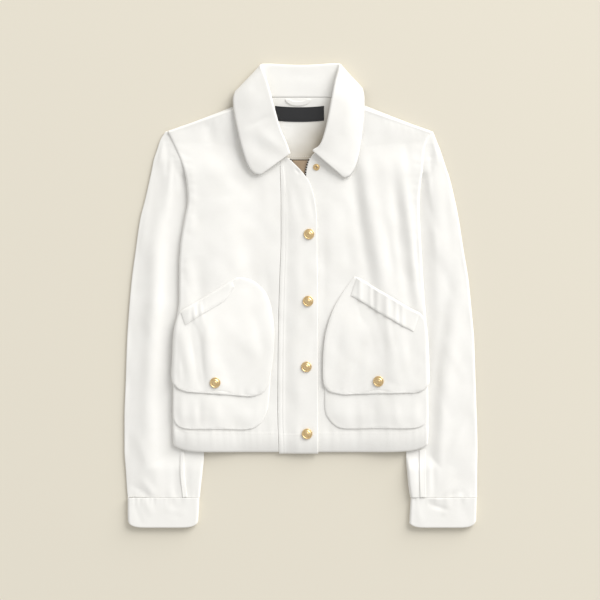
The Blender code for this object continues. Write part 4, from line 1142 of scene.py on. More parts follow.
def zip_tape(side):
    """A strip of ribbon from the teeth inwards, with its row of teeth."""
    thin_edge = ROUND_EDGE[:4]
    y = lines_down(ZIP_TOP, ZIP_BOTTOM, 3.5, thin_edge)
    inward = spread(ZIP_TAPE, 2.2, thin_edge, thin_edge)[None, :]
    x = zip_teeth_x(side, y) + SIGN[side] * inward
    middle = level_middle(lambda a, b: zip_height(side, a, b), x, y)
    tape = wall(f"zip_tape_{side}_cloth", middle, THIN, band_twill, slot="tape")
    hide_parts(f"zip_tape_{side}")
    row = ("start_column", TOOTH_INSET, 0.0, TOOTHLESS)
    teeth = sew(f"zip_teeth_{side}", tape, row, size=TOOTH, finish=old_brass, slot="brass")
    cut(tape)


for side in SIGN:
    zip_tape(side)

# %% [markdown]
# # The sleeves
# A sleeve is a flattened tube: an upper and an under layer that meet along its two long edges.
# The upper one is pressed flat where the body lies on it, and stands a little higher beside the
# body. Gathers fan out from the shoulder, and the vent's bound edge runs down to the cuff.

# %% Places and creases of the sleeves
SLEEVE_TOP = 5.8  # middle of the upper layer beside the body; it is pressed flat below the body
SLEEVE_RIM = 2.1  # the upper layer's rolled edges come down to this height
PRESSED_RIM = 0.7  # and to this much more where the body presses on it
SLEEVE_LOFT_BELOW_HEM = (-234.0, -262.0)
UNDERARM_Y = 178.0
TUCKED_Y = (168.0, 186.0)  # below these heights the sleeve's inner edge lies under the body
SLEEVE = table(
    "y right_out right_in left_out left_in",
    (248, -203, -200.2, 198.5, 196.2),
    (235, -211, -194.3, 203, 190.3),
    (220, -216, -187.3, 209, 186.3),
    (205, -221, -180.8, 214, 184.8),
    (190, -224, -175.8, 219, 183.8),
    (178, -226.5, -172.8, 223, 182.0),
    (145, -234, -161, 231, 168),
    (115, -241.5, -156, 237, 161),
    (70, -248, -152, 244, 158),
    (25, -254, -150, 251.5, 157),
    (-20, -258, -149, 256, 157),
    (-65, -261, -148, 260, 157),
    (-125, -263, -146, 262, 157),
    (-185, -265, -145, 264, 157.5),
    (-230, -265, -145, 265, 158),
    (-260, -263, -147.7, 264.5, 160),
    (-290, -261, -151, 264.3, 163),
    (-301.6, -260, -152, 264.3, 165),
)
# Height of the sleeve's middle at the armhole seam, and below the underarm where the body lies on it.
SLEEVE_SEAM = table(
    "y middle",
    (168, 2.8),
    (177, 2.8),
    (190, 6.0),
    (205, 6.6),
    (220, 5.2),
    (235, 4.4),
    (248, 2.8),
)
SLEEVE_FOLDS = {
    "right": creases(
        (-208, 190, -236, -290, 15, 3.4), (-203, 235, -200, 110, 8, 1.3),
        (-222, -150, -214, -330, 12, 1.2), (-243, -270, -216, -303, 6, 1.4),
        (-176, -225, -170, -310, 8, -1.1),
    ),
    "left": creases(
        (246, 80, 190, -330, 13, 2.2), (229, 60, 173, -320, 10, -1.6), (184, 232, 183, 165, 7, -1.0),
        (202, 215, 214, 20, 12, 1.2), (228, -255, 204, -312, 8, 1.1), (166, -215, 169, -330, 17, 4.0),
    ),
}
SLEEVE_LOFT_REACH = {"right": (6.0, 46.0), "left": (1.0, 24.0)}  # the valley's floor and far side
SLEEVE_SLOPE = {"right": 1.0, "left": 0.2}  # share of the drop to the rim that is a long slope
SLEEVE_SLOPE_REACH = 46.0
NARROW_VALLEY = (1.0, 14.0)  # width of its floor and of its slope at the underarm
VALLEY_Y = (190.0, 105.0)  # the valley beside the body widens down between these heights
SLEEVE_CREASES = {
    "right": creases(
        (-206, 238, -212, 196, 4, 0.8), (-199, 225, -202, 180, 4, -0.7),
        (-193, 205, -199, 150, 4, 0.7), (-184, 160, -204, 95, 6, -0.8), (-182, 125, -192, 60, 5, 0.6),
        (-228, 180, -240, 60, 7, 0.6), (-205, 60, -232, -10, 9, -0.6), (-240, -20, -206, -90, 8, 0.5),
        (-200, -120, -232, -190, 8, -0.6), (-196, -60, -202, -200, 6, 0.5),
        (-250, -200, -226, -262, 7, 0.6), (-176, -236, -181, -300, 4, 0.8),
        (-190, -240, -188, -302, 5, -0.6), (-256, -282, -226, -300, 4, -0.6),
        (-212, 150, -214, -230, 15, 1.2),
    ),
    "left": creases(
        (201, 238, 205, 196, 4, 0.8), (193, 222, 196, 176, 4, -0.7), (188, 200, 194, 150, 4, 0.7),
        (186, 160, 204, 95, 6, -0.8), (196, 130, 206, 50, 6, 0.6), (222, 180, 234, 60, 7, 0.6),
        (206, 60, 232, -10, 8, -0.6), (214, -60, 250, -130, 8, 0.5), (200, -110, 226, -190, 8, -0.7),
        (250, -180, 220, -250, 7, 0.5), (192, -238, 193, -302, 3.5, 0.8),
        (199, -240, 200, -302, 4, -0.7), (236, -274, 214, -302, 4, 0.8),
        (246, -290, 222, -300, 4, -0.7),
    ),
}

# %% Height of a sleeve
def sleeve_x(side, edge, y):
    """The sleeve's outer or inner edge."""
    return through(SLEEVE["y"], SLEEVE[f"{side}_{edge}"], y)


def from_edge(side, edge, x, y):
    """Distance in from the sleeve's outer or inner edge."""
    inward = SIGN[side] if edge == "out" else -SIGN[side]
    return inward * (sleeve_x(side, edge, y) - x)


def sleeve_free(side, x, y):
    """0 where the sleeve is sewn to the body or lies under it, 1 where nothing holds it down."""
    body_edge = side_x(side, np.clip(y, BODY_SIDE["y"][-1], None))
    seam = np.where(y > UNDERARM_Y, sleeve_x(side, "in", y), body_edge)
    outward = SIGN[side] * (x - seam)
    (start, end), wide = SLEEVE_LOFT_REACH[side], smooth(*VALLEY_Y, y)
    floor_ends = NARROW_VALLEY[0] + (start - NARROW_VALLEY[0]) * wide
    slope = NARROW_VALLEY[1] + (end - start - NARROW_VALLEY[1]) * wide
    beside_body = smooth(0.0, 1.0, (outward - floor_ends) / slope)
    return np.maximum(beside_body, smooth(*SLEEVE_LOFT_BELOW_HEM, y))


def sleeve_height(side, x, y):
    """Middle of the sleeve's upper cloth: pressed flat under the body, loftier beside it."""
    free = sleeve_free(side, x, y)
    at_seam = through(SLEEVE_SEAM["y"], SLEEVE_SEAM["middle"], y)
    from_out, from_in = from_edge(side, "out", x, y), from_edge(side, "in", x, y)
    calm = free * smooth(0.0, 12.0, from_out)
    height = at_seam + (SLEEVE_TOP - at_seam) * free + calm * folds(SLEEVE_FOLDS[side], x, y)
    to_rim = np.clip(height - SLEEVE_RIM - PRESSED_RIM * (1.0 - free), 0.0, None)
    slope = SLEEVE_SLOPE[side]
    drop_out = to_rim * slope * np.clip(1.0 - from_out / SLEEVE_SLOPE_REACH, 0.0, 1.0) ** 1.4
    drop_out = drop_out + rolled(np.clip(from_out, 0, None), SIDE_ROLL, to_rim * (1.0 - slope))
    tucked = 1.0 - smooth(*TUCKED_Y, y)
    drop_in = rolled(np.clip(from_in, 0, None), SIDE_ROLL, to_rim * tucked)
    return height - np.maximum(drop_out, drop_in)


def sleeve_points(side, y, share, inset=0.0):
    """Places across a sleeve, from its outer edge to its inner one."""
    outer, inner = sleeve_x(side, "out", y) - SIGN[side] * inset, sleeve_x(side, "in", y)
    return outer + (inner - outer) * share


def sleeve_surface(side, x, y):
    """Height of the upper layer with its small creases. They are pressed out under the body."""
    free = sleeve_free(side, x, y)
    from_out, from_in = from_edge(side, "out", x, y), from_edge(side, "in", x, y)
    calm = smooth(0.0, 8.0, from_out) * (0.15 + 0.85 * free)
    inside, at_armhole = smooth(0.0, 6.0, from_in), smooth(150.0, 185.0, y)
    fine = folds(SLEEVE_CREASES[side], x, y) + ripple(x, y, 17, 0.014)
    fine += puckers(from_in - 2.0, y, reach=9.0, pitch=12.0, height=0.7, seed=51) * at_armhole
    fine += puckers(y - SLEEVE["y"][-1], x, reach=11.0, pitch=11.0, height=0.7, seed=61) * inside
    return sleeve_height(side, x, y) + calm * fine

# %% Places of the vents and seams
SLEEVE_WIDTH = 100.0
INTO_CUFF = 0.25  # the upper layer runs on to the cuff's edge
UNDER_DOWN = 2.0  # the under layer starts this far below the shoulder
VENT_WIDTH = 8.0
VENT = {
    "right": table("y outer inner", (-232, -181, -175), (-262, -181, -174.5), (-301.4, -177, -170.5)),
    "left": table("y outer inner", (-230, 187, 178), (-262, 187, 178), (-301.4, 187.5, 179)),
}


def vent_points(side, y, share):
    """Places across the binding, from its outer edge to its inner one."""
    rows = VENT[side]
    outer, inner = through(rows["y"], rows["outer"], y), through(rows["y"], rows["inner"], y)
    return outer + (inner - outer) * share


def to_armhole(side, y, share):
    """Places across a sleeve. Above the underarm its inner edge is moved up to the body's."""
    gap = side_x(side, y) + SIGN[side] * SEAM_GAP - sleeve_points(side, y, 1.0)
    return sleeve_points(side, y, share) + gap * smooth(*TUCKED_Y, y) * share

# %% Make the sleeves
def sleeve(side):
    """The upper layer, and the under one, which lies flat on the surface."""
    upper, under = f"sleeve_upper_{side}", f"sleeve_under_{side}"
    top, bottom = SLEEVE["y"][0], SLEEVE["y"][-1] - INTO_CUFF
    y = lines_down(top, bottom, STEP, ROUND_EDGE)
    x = to_armhole(side, y, shares_over(SLEEVE_WIDTH, 2.4, ROLLED_EDGE))
    middle = level_middle(lambda a, b: sleeve_surface(side, a, b), x, y)
    make_piece(upper, middle, TWILL, twill, "folded", [f"{under}_cloth"],
               sewn=("end_column", "end_row"))

    top = top - UNDER_DOWN
    y = lines_down(top, bottom, 7.0, ROUND_EDGE)
    x = sleeve_points(side, y, shares_over(SLEEVE_WIDTH, 9.0, ROUND_EDGE), inset=0.4)
    flat = level_middle(lambda a, b: TWILL / 2 + 0 * a, x, y)
    make_piece(under, flat, TWILL, twill, "folded", [f"{upper}_cloth"])


def sleeve_vent(side):
    """The vent's binding lies on the sleeve, made from the sleeve's own height, moved up."""
    edge = ROUND_EDGE[:5]
    y = lines_down(VENT[side]["y"][0], VENT[side]["y"][-1], 2.5, edge)
    x = vent_points(side, y, shares_over(VENT_WIDTH, 1.2, edge))
    lay = TWILL / 2 + LAY_GAP + BAND_TWILL / 2
    middle = level_middle(lambda a, b: sleeve_surface(side, a, b) + lay, x, y)
    make_piece(f"sleeve_vent_{side}", middle, BAND_TWILL, twill, "laid", [f"sleeve_upper_{side}_cloth"],
               [("start_column", EDGE_SEAM, 2.0, 1.0)])


for side in SIGN:
    sleeve(side)
    sleeve_vent(side)

# %% [markdown]
# # The cuffs
# A cuff is a band of two layers sewn to a ring, here pressed flat. It is topstitched along both
# edges, and the gathers of the sleeve run a little way into it.

# %% Make the cuffs
CUFF_TOP = -302.0
CUFF_BOTTOM = -347.0
CUFF_CORNER = 4.0  # how far the cuff's bottom corners are rounded up
CUFF_CORNER_Y = -335.0
CUFF_HOLLOW = 3.6
CUFF_SEAM = 2.2
CUFF_BEND_STEPS, CUFF_FLAT_STEPS = 16, 56
CUFF = table(
    "y right_out right_in left_out left_in",
    (CUFF_TOP, -260, -152, 264.3, 165),
    (-322, -260, -153, 263.8, 163.8),
    (-338, -259.5, -154, 263.3, 163),
    (CUFF_BOTTOM, -258.5, -155, 262, 162.7),
)
CUFF_FLAT_Z = (3.4, 5.0)  # only the side that faces up is creased
CUFF_CREASES = {
    "right": creases(
        (-236, -300, -222, -330, 6, 0.7), (-190, -298, -186, -335, 8, -0.6),
        (-206, -318, -170, -326, 6, 0.5), (-250, -310, -238, -345, 5, -0.5),
    ),
    "left": creases(
        (190, -311, 224, -321, 4, -1.0), (188, -303, 222, -305, 4, 0.8),
        (226, -300, 214, -330, 5, 0.7), (176, -310, 180, -345, 6, 0.5),
        (240, -300, 250, -340, 9, -0.5),
    ),
}


def cuff_middle(side, y):
    """Rings of the cuff's tube: half a circle at each folded edge, joined above and below."""
    outer = through(CUFF["y"], CUFF[side + "_out"], y)
    inner = through(CUFF["y"], CUFF[side + "_in"], y)
    radius = (CUFF_HOLLOW + CUFF_TWILL) / 2
    low = np.minimum(outer, inner) + CUFF_TWILL / 2 + radius
    high = np.maximum(outer, inner) - CUFF_TWILL / 2 - radius
    bend = between(-math.pi / 2, math.pi / 2, CUFF_BEND_STEPS)[None, :]
    flat = between(0, 1, CUFF_FLAT_STEPS)[None, 1:-1]
    across = [
        high + radius * np.cos(bend),
        high + (low - high) * flat,
        low - radius * np.cos(bend),
        low + (high - low) * flat,
    ]
    level = [np.sin(bend), 1.0 + 0 * flat, -np.sin(bend), -1.0 + 0 * flat]
    x = np.concatenate(across, axis=1)
    z = radius * (1.0 + np.concatenate(level, axis=1)) + CUFF_TWILL / 2 + 0 * x
    share = np.clip(np.abs(2.0 * (x - low) / (high - low) - 1.0), 0.0, 1.1)
    corner = CUFF_CORNER * smooth(CUFF_CORNER_Y, CUFF_BOTTOM, y) * share**8
    return np.stack([x, y + corner, z], -1)


def cuff(side):
    """A ring of cloth whose upper side has small creases, and puckers at its seam."""
    edge = with_seams(ROUND_EDGE, CUFF_SEAM)
    middle = cuff_middle(side, lines_down(CUFF_TOP, CUFF_BOTTOM, FINE_STEP, edge))
    x, y, z = middle[..., 0], middle[..., 1], middle[..., 2]
    fine = folds(CUFF_CREASES[side], x, y)
    fine += puckers(y - CUFF_TOP, x, reach=9.0, pitch=10.0, height=0.55, seed=71)
    middle[..., 2] += smooth(*CUFF_FLAT_Z, z) * np.clip(fine, -1.0, 1.5)
    sewing = [(edge, CUFF_SEAM, 0.0, 0.0) for edge in ("start_row", "end_row")]
    make_piece(f"cuff_{side}", middle, CUFF_TWILL, twill, "folded", [f"sleeve_upper_{side}_cloth"],
               sewing, ring=True, sewn=("start_row",))


for side in SIGN:
    cuff(side)

# %% [markdown]
# # The pockets
# Each pocket is a patch with a large flap that rounds off towards the centre. The flap's outer
# corner is a slanted hand opening, gathered by a band. All of them are made from the front's own
# points, moved out along its normal, so that they follow its folds.

# %% Places of the pockets
# The two ends of each cross-section, from the side to the centre. side_in is a distance in from the
# side edge, side_x and centre_x are places.
PATCH = {
    "right": table(
        "side_in side_y centre_x centre_y",
        (0.8, -74, -42, -74),
        (0.8, -120, -45, -120),
        (0.8, -160, -48, -160),
        (1.0, -178, -51, -174),
        (2.5, -187, -56, -185),
        (6.0, -193, -63, -193),
        (14.0, -197, -72, -198),
        (26.0, -199, -84, -200),
    ),
    "left": table(
        "side_in side_y centre_x centre_y",
        (0.8, -74, 35.5, -74),
        (0.8, -120, 35.5, -120),
        (0.8, -160, 35.5, -160),
        (1.0, -176, 37, -174),
        (2.5, -186, 42, -184),
        (6.0, -192, 49, -192),
        (14.0, -196, 58, -197),
        (26.0, -198, 70, -198.5),
    ),
}
FLAP = {
    "right": table(
        "side_x side_y centre_x centre_y",
        (-96, 28.5, -92, 29),
        (-104, 24, -80, 27),
        (-116, 17, -64, 18.5),
        (-132, 7, -52, 5),
        (-150, -4, -45, -12),
        (-168, -14.5, -41, -35),
        (-180.5, -23, -39.5, -55),
        (-184.6, -36, -40, -75),
        (-187.6, -62, -42, -95),
        (-188.8, -90, -45, -115),
        (-190, -118, -49, -132),
        (-189.6, -128, -53, -140),
        (-187, -135, -58, -145),
        (-181, -140, -66, -149),
        (-170, -143.5, -76, -150.5),
    ),
    "left": table(
        "side_x side_y centre_x centre_y",
        (85, 29, 80.5, 30),
        (93, 25, 75.5, 24),
        (107, 16.5, 68, 14),
        (123, 7, 59, 0),
        (143, -5, 49, -18),
        (163, -17, 41, -40),
        (179, -25, 36, -62),
        (185.5, -36, 34, -80),
        (187.5, -62, 33, -98),
        (188.6, -90, 32.8, -115),
        (189.3, -118, 34, -130),
        (189.4, -128, 38, -138),
        (187.5, -136, 44, -143.5),
        (182, -141.5, 53, -146),
        (170, -144.5, 64, -147.5),
    ),
}
FLAP_PUFF = 1.5  # the patch below it is puffed out
FLAP_PATCH_Y = (20.0, -66.0)  # below this the flap lies on the patch, above it on the front
PATCH_PUFF = 1.2
BAND_WIDTH = {"right": 20.0, "left": 28.0}
BAND_START = {"right": 0.45, "left": 1.0}  # share of the width at the end towards the centre
BAND_INSET = 1.2
BAND_DOWN = (0.32, 0.95)  # the way that the band runs down from the opening, towards the centre
FLAP_FOLDS = {
    "right": creases(
        (-150, -5, -132, -150, 13, 2.4), (-160, -30, -146, -140, 9, -1.2),
        (-85, 20, -80, -150, 24, 1.2),
    ),
    "left": creases(
        (104, -5, 132, -110, 12, -1.3), (128, 5, 142, -140, 12, 1.8), (75, -10, 80, -150, 20, 1.4),
    ),
}
# Small gathers across the band of each slanted pocket opening.
BAND_GATHERS = {"right": (-168, -160, -150, -143), "left": (89, 105, 116, 129, 143, 152)}
GATHER_WIDTH = 3.2
GATHER_HEIGHT = 1.3
FLAP_CREASES = {
    "right": creases(
        (-178, -45, -162, -148, 9, 2.0), (-162, -25, -144, -150, 5, -1.6),
        (-160, -14, -158, -50, 3, 0.9), (-150, -8, -146, -48, 3, 0.8),
        (-146, -20, -150, -100, 5, -0.8), (-120, -100, -118, -150, 7, 0.6),
        (-95, -60, -60, -90, 12, 0.5), (-70, -20, -52, -110, 8, -0.5), (-184, -84, -180, -130, 4, 0.9),
        (-138, -120, -100, -140, 7, 0.5),
    ),
    "left": creases(
        (150, -40, 156, -120, 6, 0.8), (165, -50, 172, -130, 5, -0.7), (100, -60, 96, -146, 8, 0.6),
        (60, -40, 50, -120, 8, -0.5), (86, 8, 96, -50, 6, -0.7), (112, 0, 122, -70, 5, 0.7),
        (135, -16, 140, -80, 4, -0.7), (78, -100, 60, -140, 7, 0.6), (150, -138, 120, -120, 6, -0.5),
    ),
}
PATCH_CREASES = {
    "right": creases(
        (-160, -150, -158, -200, 6, 0.7), (-150, -150, -152, -200, 5, -0.7),
        (-128, -148, -126, -200, 8, 0.7), (-85, -150, -84, -200, 12, 0.5),
        (-180, -145, -178, -196, 5, 0.6),
    ),
    "left": creases(
        (70, -150, 66, -200, 9, 0.6), (110, -148, 112, -200, 7, -0.6), (140, -146, 146, -198, 6, 0.7),
        (172, -144, 170, -198, 6, 0.5), (90, -150, 92, -200, 5, 0.4),
    ),
}

# %% Surface of a pocket layer
def moved_out(height, x, y, out):
    """Points at a distance out from a height field, square to it."""
    nudge = 0.1
    slope_x = (height(x + nudge, y) - height(x - nudge, y)) / (2 * nudge)
    slope_y = (height(x, y + nudge) - height(x, y - nudge)) / (2 * nudge)
    normal = np.stack([-slope_x, -slope_y, np.ones_like(slope_x)], -1)
    normal /= np.linalg.norm(normal, axis=-1, keepdims=True)
    return np.stack([x, y, height(x, y)], -1) + normal * np.asarray(out, float)[..., None]


def layer_out():
    """How far the middle of a pocket layer lies out from the middle of the front."""
    return TWILL / 2 + LAY_GAP + 0.2 + POCKET_TWILL / 2


def flap_out(y):
    """The same for the flap, which lies on the front at its top and on the puffed patch below."""
    return layer_out() + (POCKET_TWILL + LAY_GAP + FLAP_PUFF) * smooth(*FLAP_PATCH_Y, y)


def pocket_grid(rows, downs, shares, side=None):
    """Places on a pocket layer, from its side end to its centre end in each section."""
    at = section_rows(rows, downs)
    if "side_in" in at:
        at["side_x"] = side_x(side, at["side_y"]) - SIGN[side] * at["side_in"]
    x0, y0, x1, y1 = (at[k][:, None] for k in ("side_x", "side_y", "centre_x", "centre_y"))
    return x0 + (x1 - x0) * shares, y0 + (y1 - y0) * shares


def band_points(side, along, share):
    """Places on the band: along follows the flap's slanted edge, share runs down across the band."""
    start = 1 if side == "right" else 0
    at = section_rows({name: values[start:7] for name, values in FLAP[side].items()}, along)
    grows = BAND_START[side] + (1.0 - BAND_START[side]) * smooth(0.0, 0.3, along)
    down = (BAND_WIDTH[side] * grows)[:, None] * share
    x = (at["side_x"] - SIGN[side] * BAND_INSET)[:, None] - SIGN[side] * BAND_DOWN[0] * down
    y = (at["side_y"] - BAND_INSET)[:, None] - BAND_DOWN[1] * down
    return x, y

# %% Make the pockets
FLAP_SEAM = 6.0
PATCH_SEAM = 2.6
FLAP_SIDE_SEAM = 1.8
POCKET_WIDTH = 145.0
PATCH_PUFF_Y = (-199.0, -175.0)
PATCH_FREE_Y = (-125.0, -140.0)  # below the flap
PATCH_HEM_Y = (-200.0, -190.0)
PATCH_PRESS = 0.45
FLAP_FOLD_Y = (26.0, 6.0)
FLAP_CREASE_Y = (20.0, 0.0)
FLAP_HEM = -146.0
FLAP_PUCKER_Y = (-60.0, -100.0)
BAND_LENGTH, BAND_ACROSS = 110.0, 20.0
GATHER_SHARE = {"right": 0.2, "left": 0.7}  # the right pocket's band lies nearly smooth
# How far in from each edge a layer slopes down to the cloth that it is stitched on.
SLOPES = {
    "patch": {side: {"end_row": 3.6, "start_column": 2.4, "end_column": 4.5} for side in SIGN},
    "flap": {
        "right": {"start_row": 5.0, "end_row": 2.6, "start_column": 4.0, "end_column": 12.0},
        "left": {"start_row": 5.0, "end_row": 2.6, "start_column": 4.0, "end_column": 4.5},
    },
    "band": {
        "right": {"start_row": 9.0, "end_row": 11.0, "end_column": 6.0},
        "left": {"start_row": 9.0, "end_row": 11.0, "end_column": 2.8},
    },
}


def pocket_layer(kind, side, x, y, out, thickness, held, below, *sewing):
    """A layer made from the front's points, moved out along its normal."""
    name = f"pocket_{kind}_{side}"
    middle = moved_out(front_of(side), x, y, out)
    make_piece(name, middle, thickness, twill, held, [f"{below}_{side}_cloth"], sewing,
               soft=SLOPES[kind][side])


def pocket_places(rows, side, shares, start, end):
    """The places of a pocket layer: rows that lie evenly down it, each with the same shares across."""
    down = rows_for(STEP, lambda fine, across: pocket_grid(rows, fine, across, side), start, end)
    return down[:, None], *pocket_grid(rows, down, shares, side)


def patch(side, shares):
    """Puffed out inside its edges, creased where the flap leaves it free, pressed flat at its hem."""
    hem = with_seams(ROUND_EDGE, PATCH_SEAM)
    down, x, y = pocket_places(PATCH[side], side, shares, ROUND_EDGE, hem)
    inside = np.minimum(smooth(0, 0.12, shares), smooth(1.0, 0.88, shares))
    puff = PATCH_PUFF * inside * smooth(*PATCH_PUFF_Y, y)
    free = smooth(*PATCH_FREE_Y, y) * smooth(*PATCH_HEM_Y, y) * inside
    pressed = PATCH_PRESS * smooth(0.94, 1.0, down)
    out = layer_out() + puff - pressed + np.clip(free * folds(PATCH_CREASES[side], x, y), -0.6, 2.0)
    pocket_layer("patch", side, x, y, out, POCKET_TWILL, "laid", "front",
                 ("end_row", PATCH_SEAM, 2.0, 2.0))


def flap(side, shares):
    """Lies on the patch with its folds and creases, which fade out at its top and at its side edge."""
    start, end = with_seams(ROUND_EDGE, FLAP_SIDE_SEAM), with_seams(ROUND_EDGE, FLAP_SEAM)
    _, x, y = pocket_places(FLAP[side], side, shares, start, end)
    fold = folds(FLAP_FOLDS[side], x, y) * smooth(0.02, 0.12, shares) * smooth(*FLAP_FOLD_Y, y)
    fine = folds(FLAP_CREASES[side], x, y) * smooth(*FLAP_CREASE_Y, y) * smooth(0.0, 0.06, shares)
    at_hem = smooth(*FLAP_PUCKER_Y, y)
    fine += puckers(y - FLAP_HEM, x, reach=8.0, pitch=16.0, height=0.5, seed=81) * at_hem
    out = flap_out(y) + np.maximum(fold + fine, -0.25)
    pocket_layer("flap", side, x, y, out, POCKET_TWILL, "laid", "pocket_patch",
                 ("end_row", FLAP_SEAM, 2.0, 2.0), ("end_column", FLAP_SIDE_SEAM, 12.0, 12.0))


def band(side):
    """Lies on the flap's folds. A gather adds a bell curve to its height at each of its places."""
    along = spread(BAND_LENGTH, FINE_STEP, ROUND_EDGE, ROUND_EDGE) / BAND_LENGTH
    across = shares_over(BAND_ACROSS, FINE_STEP, ROUND_EDGE, with_seams(ROUND_EDGE, EDGE_SEAM))
    x, y = band_points(side, along, across)
    gather = sum(np.exp(-(((x - place) / GATHER_WIDTH) ** 2)) for place in BAND_GATHERS[side])
    below = np.clip(folds(FLAP_FOLDS[side], x, y) * smooth(*FLAP_FOLD_Y, y), 0.0, None)
    below = below + np.clip(folds(FLAP_CREASES[side], x, y) * smooth(*FLAP_CREASE_Y, y), 0.0, None)
    out = flap_out(y) + POCKET_TWILL / 2 + LAY_GAP + 0.1 + BAND_TWILL / 2
    out = out + below + GATHER_SHARE[side] * GATHER_HEIGHT * gather
    pocket_layer("band", side, x, y, out, BAND_TWILL, "gathered", "pocket_flap",
                 ("end_column", EDGE_SEAM, 2.0, 2.0))


shares = shares_over(POCKET_WIDTH, STEP, with_seams(ROUND_EDGE, FLAP_SIDE_SEAM))
for side in SIGN:
    patch(side, shares)
    flap(side, shares)
    band(side)

# %% [markdown]
# # The collar
# The collar is one long piece: up the stand from the neck seam, half round the roll line, and out
# along the fall to its free edge. Its sections run from one front end round the back of the neck
# to the other. The fall lies above the stand at the front, and below it at the back of the neck,
# where the collar lies folded.

# %% Places of the collar
# The collar, from its right front end round the back of the neck to its left front end. Each section
# has its neck seam, its roll line and its free edge. turn is the way that the fall lies from the
# stand: 0 is above it, 90 is beside it, 180 is below it.
COLLAR = table(
    "seam_x seam_y seam_z roll_x roll_y roll_z edge_x edge_y edge_z turn",
    (-21, 211, 8.4, -17.6, 213, 9.0, -60, 182.5, 9.6, 0),
    (-23, 214, 8.4, -19, 216, 9.4, -68, 183.5, 9.8, 0),
    (-26, 220, 8.5, -21, 222, 10.2, -74.5, 188, 10.4, 0),
    (-31.5, 231, 9.0, -25, 232, 11.8, -81.5, 200, 11.8, 0),
    (-40, 248, 9.8, -32.6, 249, 14.0, -89.5, 225, 12.8, 0),
    (-51, 267.5, 11.8, -39.4, 272, 16.5, -96.5, 255, 12.8, 0),
    (-60.5, 282, 12.6, -45.4, 295.5, 17.4, -101, 280, 11.8, 4),
    (-65.5, 289, 12.4, -51.4, 320, 15.4, -102, 294, 9.8, 12),
    (-67.5, 292.5, 11.4, -55.8, 336, 12.6, -100.8, 301.5, 7.6, 40),
    (-68.4, 295, 9.4, -58, 344, 9.2, -97.9, 307, 4.4, 90),
    (-66, 297.6, 7.4, -55.6, 346.4, 7.0, -92.5, 303.5, 1.7, 140),
    (-57, 298.8, 6.4, -46, 346.6, 6.3, -76, 294, 1.0, 176),
    (-30, 299, 6.2, -26, 345.4, 6.3, -42, 289, 1.0, 180),
    (0, 299, 6.2, 0, 344.7, 6.3, 0, 288, 1.0, 180),
    (30, 299, 6.2, 26, 345.6, 6.3, 40, 289, 1.0, 180),
    (56, 298.8, 6.4, 46, 347, 6.3, 72, 295, 1.0, 176),
    (65, 297.6, 7.4, 55, 347, 7.0, 87, 306, 1.7, 140),
    (67.6, 295, 9.4, 57.6, 344.5, 9.2, 92.6, 311.5, 4.4, 90),
    (66.8, 292.5, 11.4, 55.6, 336, 12.6, 95, 304, 7.6, 40),
    (65, 289, 12.4, 52, 320, 15.4, 96, 294, 9.8, 12),
    (61, 282, 12.6, 48.2, 295.5, 17.4, 95.8, 280, 10.2, 4),
    (54.5, 267.5, 11.8, 44.2, 271, 16.5, 93.8, 254, 9.4, 0),
    (46.5, 248, 9.8, 39, 248, 14.0, 89.8, 223, 8.8, 0),
    (36.4, 231, 9.0, 32.6, 230, 11.8, 84, 199, 9.6, 0),
    (29, 222, 8.5, 27, 222.5, 10.2, 78, 186, 10.2, 0),
    (24, 217.5, 8.4, 21.5, 219, 9.4, 72, 179.5, 10.8, 0),
    (21.5, 215, 8.4, 19.5, 216.6, 9.0, 65.5, 177.5, 10.8, 0),
)
COLLAR_ROLL = 2.1  # radius of the fold at the roll line
LEAF_BULGE = 1.6
STAND_STEPS, ROLL_STEPS, LEAF_STEPS = 18, 13, 24
LEAF_ROWS = (17.0, 34.0)  # the leaf's creases grow between these rows of the grid
LEAF_RISE_ROW = 31.0  # and its free edge stands off from this one on
COLLAR_CREASES = creases(
    (-84, 251, -42, 273, 5, -0.9), (-68, 250, -10, 207, 8, 0.9), (-84, 240, -36, 200, 11, -0.9),
    (-96, 288, -70, 312, 7, 0.6), (80, 300, 62, 240, 9, 0.7), (64, 330, 90, 290, 6, -0.5),
    (70, 200, 84, 240, 8, 0.6), (-24, 333, 24, 330, 6, -0.5), (-30, 318, 40, 322, 10, 0.5),
)
NECK_TUCK = 0.55  # the stand's edge runs on to the facing's
LEAF_RISE = 2.6  # the right leaf stands off at its free edge


def collar_middle(sections):
    """Middle of the collar: up the stand, half round the roll line, and out along the leaf."""
    at = section_rows(COLLAR, sections)
    seam, roll, edge = (
        np.stack([at[f"{name}_{axis}"] for axis in "xyz"], -1) for name in ("seam", "roll", "edge")
    )
    turn = np.radians(at["turn"])
    outward = np.stack([np.sign(at["seam_x"]) * np.sin(turn), 0 * turn, np.cos(turn)], -1)
    rise = roll - seam
    rise[:, 2] *= 0.4
    rise /= np.linalg.norm(rise, axis=-1, keepdims=True)
    rows = [seam + (roll - seam) * k for k in between(0, 1, STAND_STEPS)]
    for angle in between(0, math.pi, ROLL_STEPS)[1:]:
        around = outward * (1 - math.cos(angle)) + rise * math.sin(angle)
        rows.append(roll + around * COLLAR_ROLL)
    crest = rows[-1]
    for k in between(0, 1, LEAF_STEPS)[1:]:
        bulge = LEAF_BULGE * math.sin(math.pi * k) * outward * np.clip(np.cos(turn), 0.0, 1.0)[:, None]
        rows.append(crest + (edge - crest) * k + bulge)
    return np.array(rows)

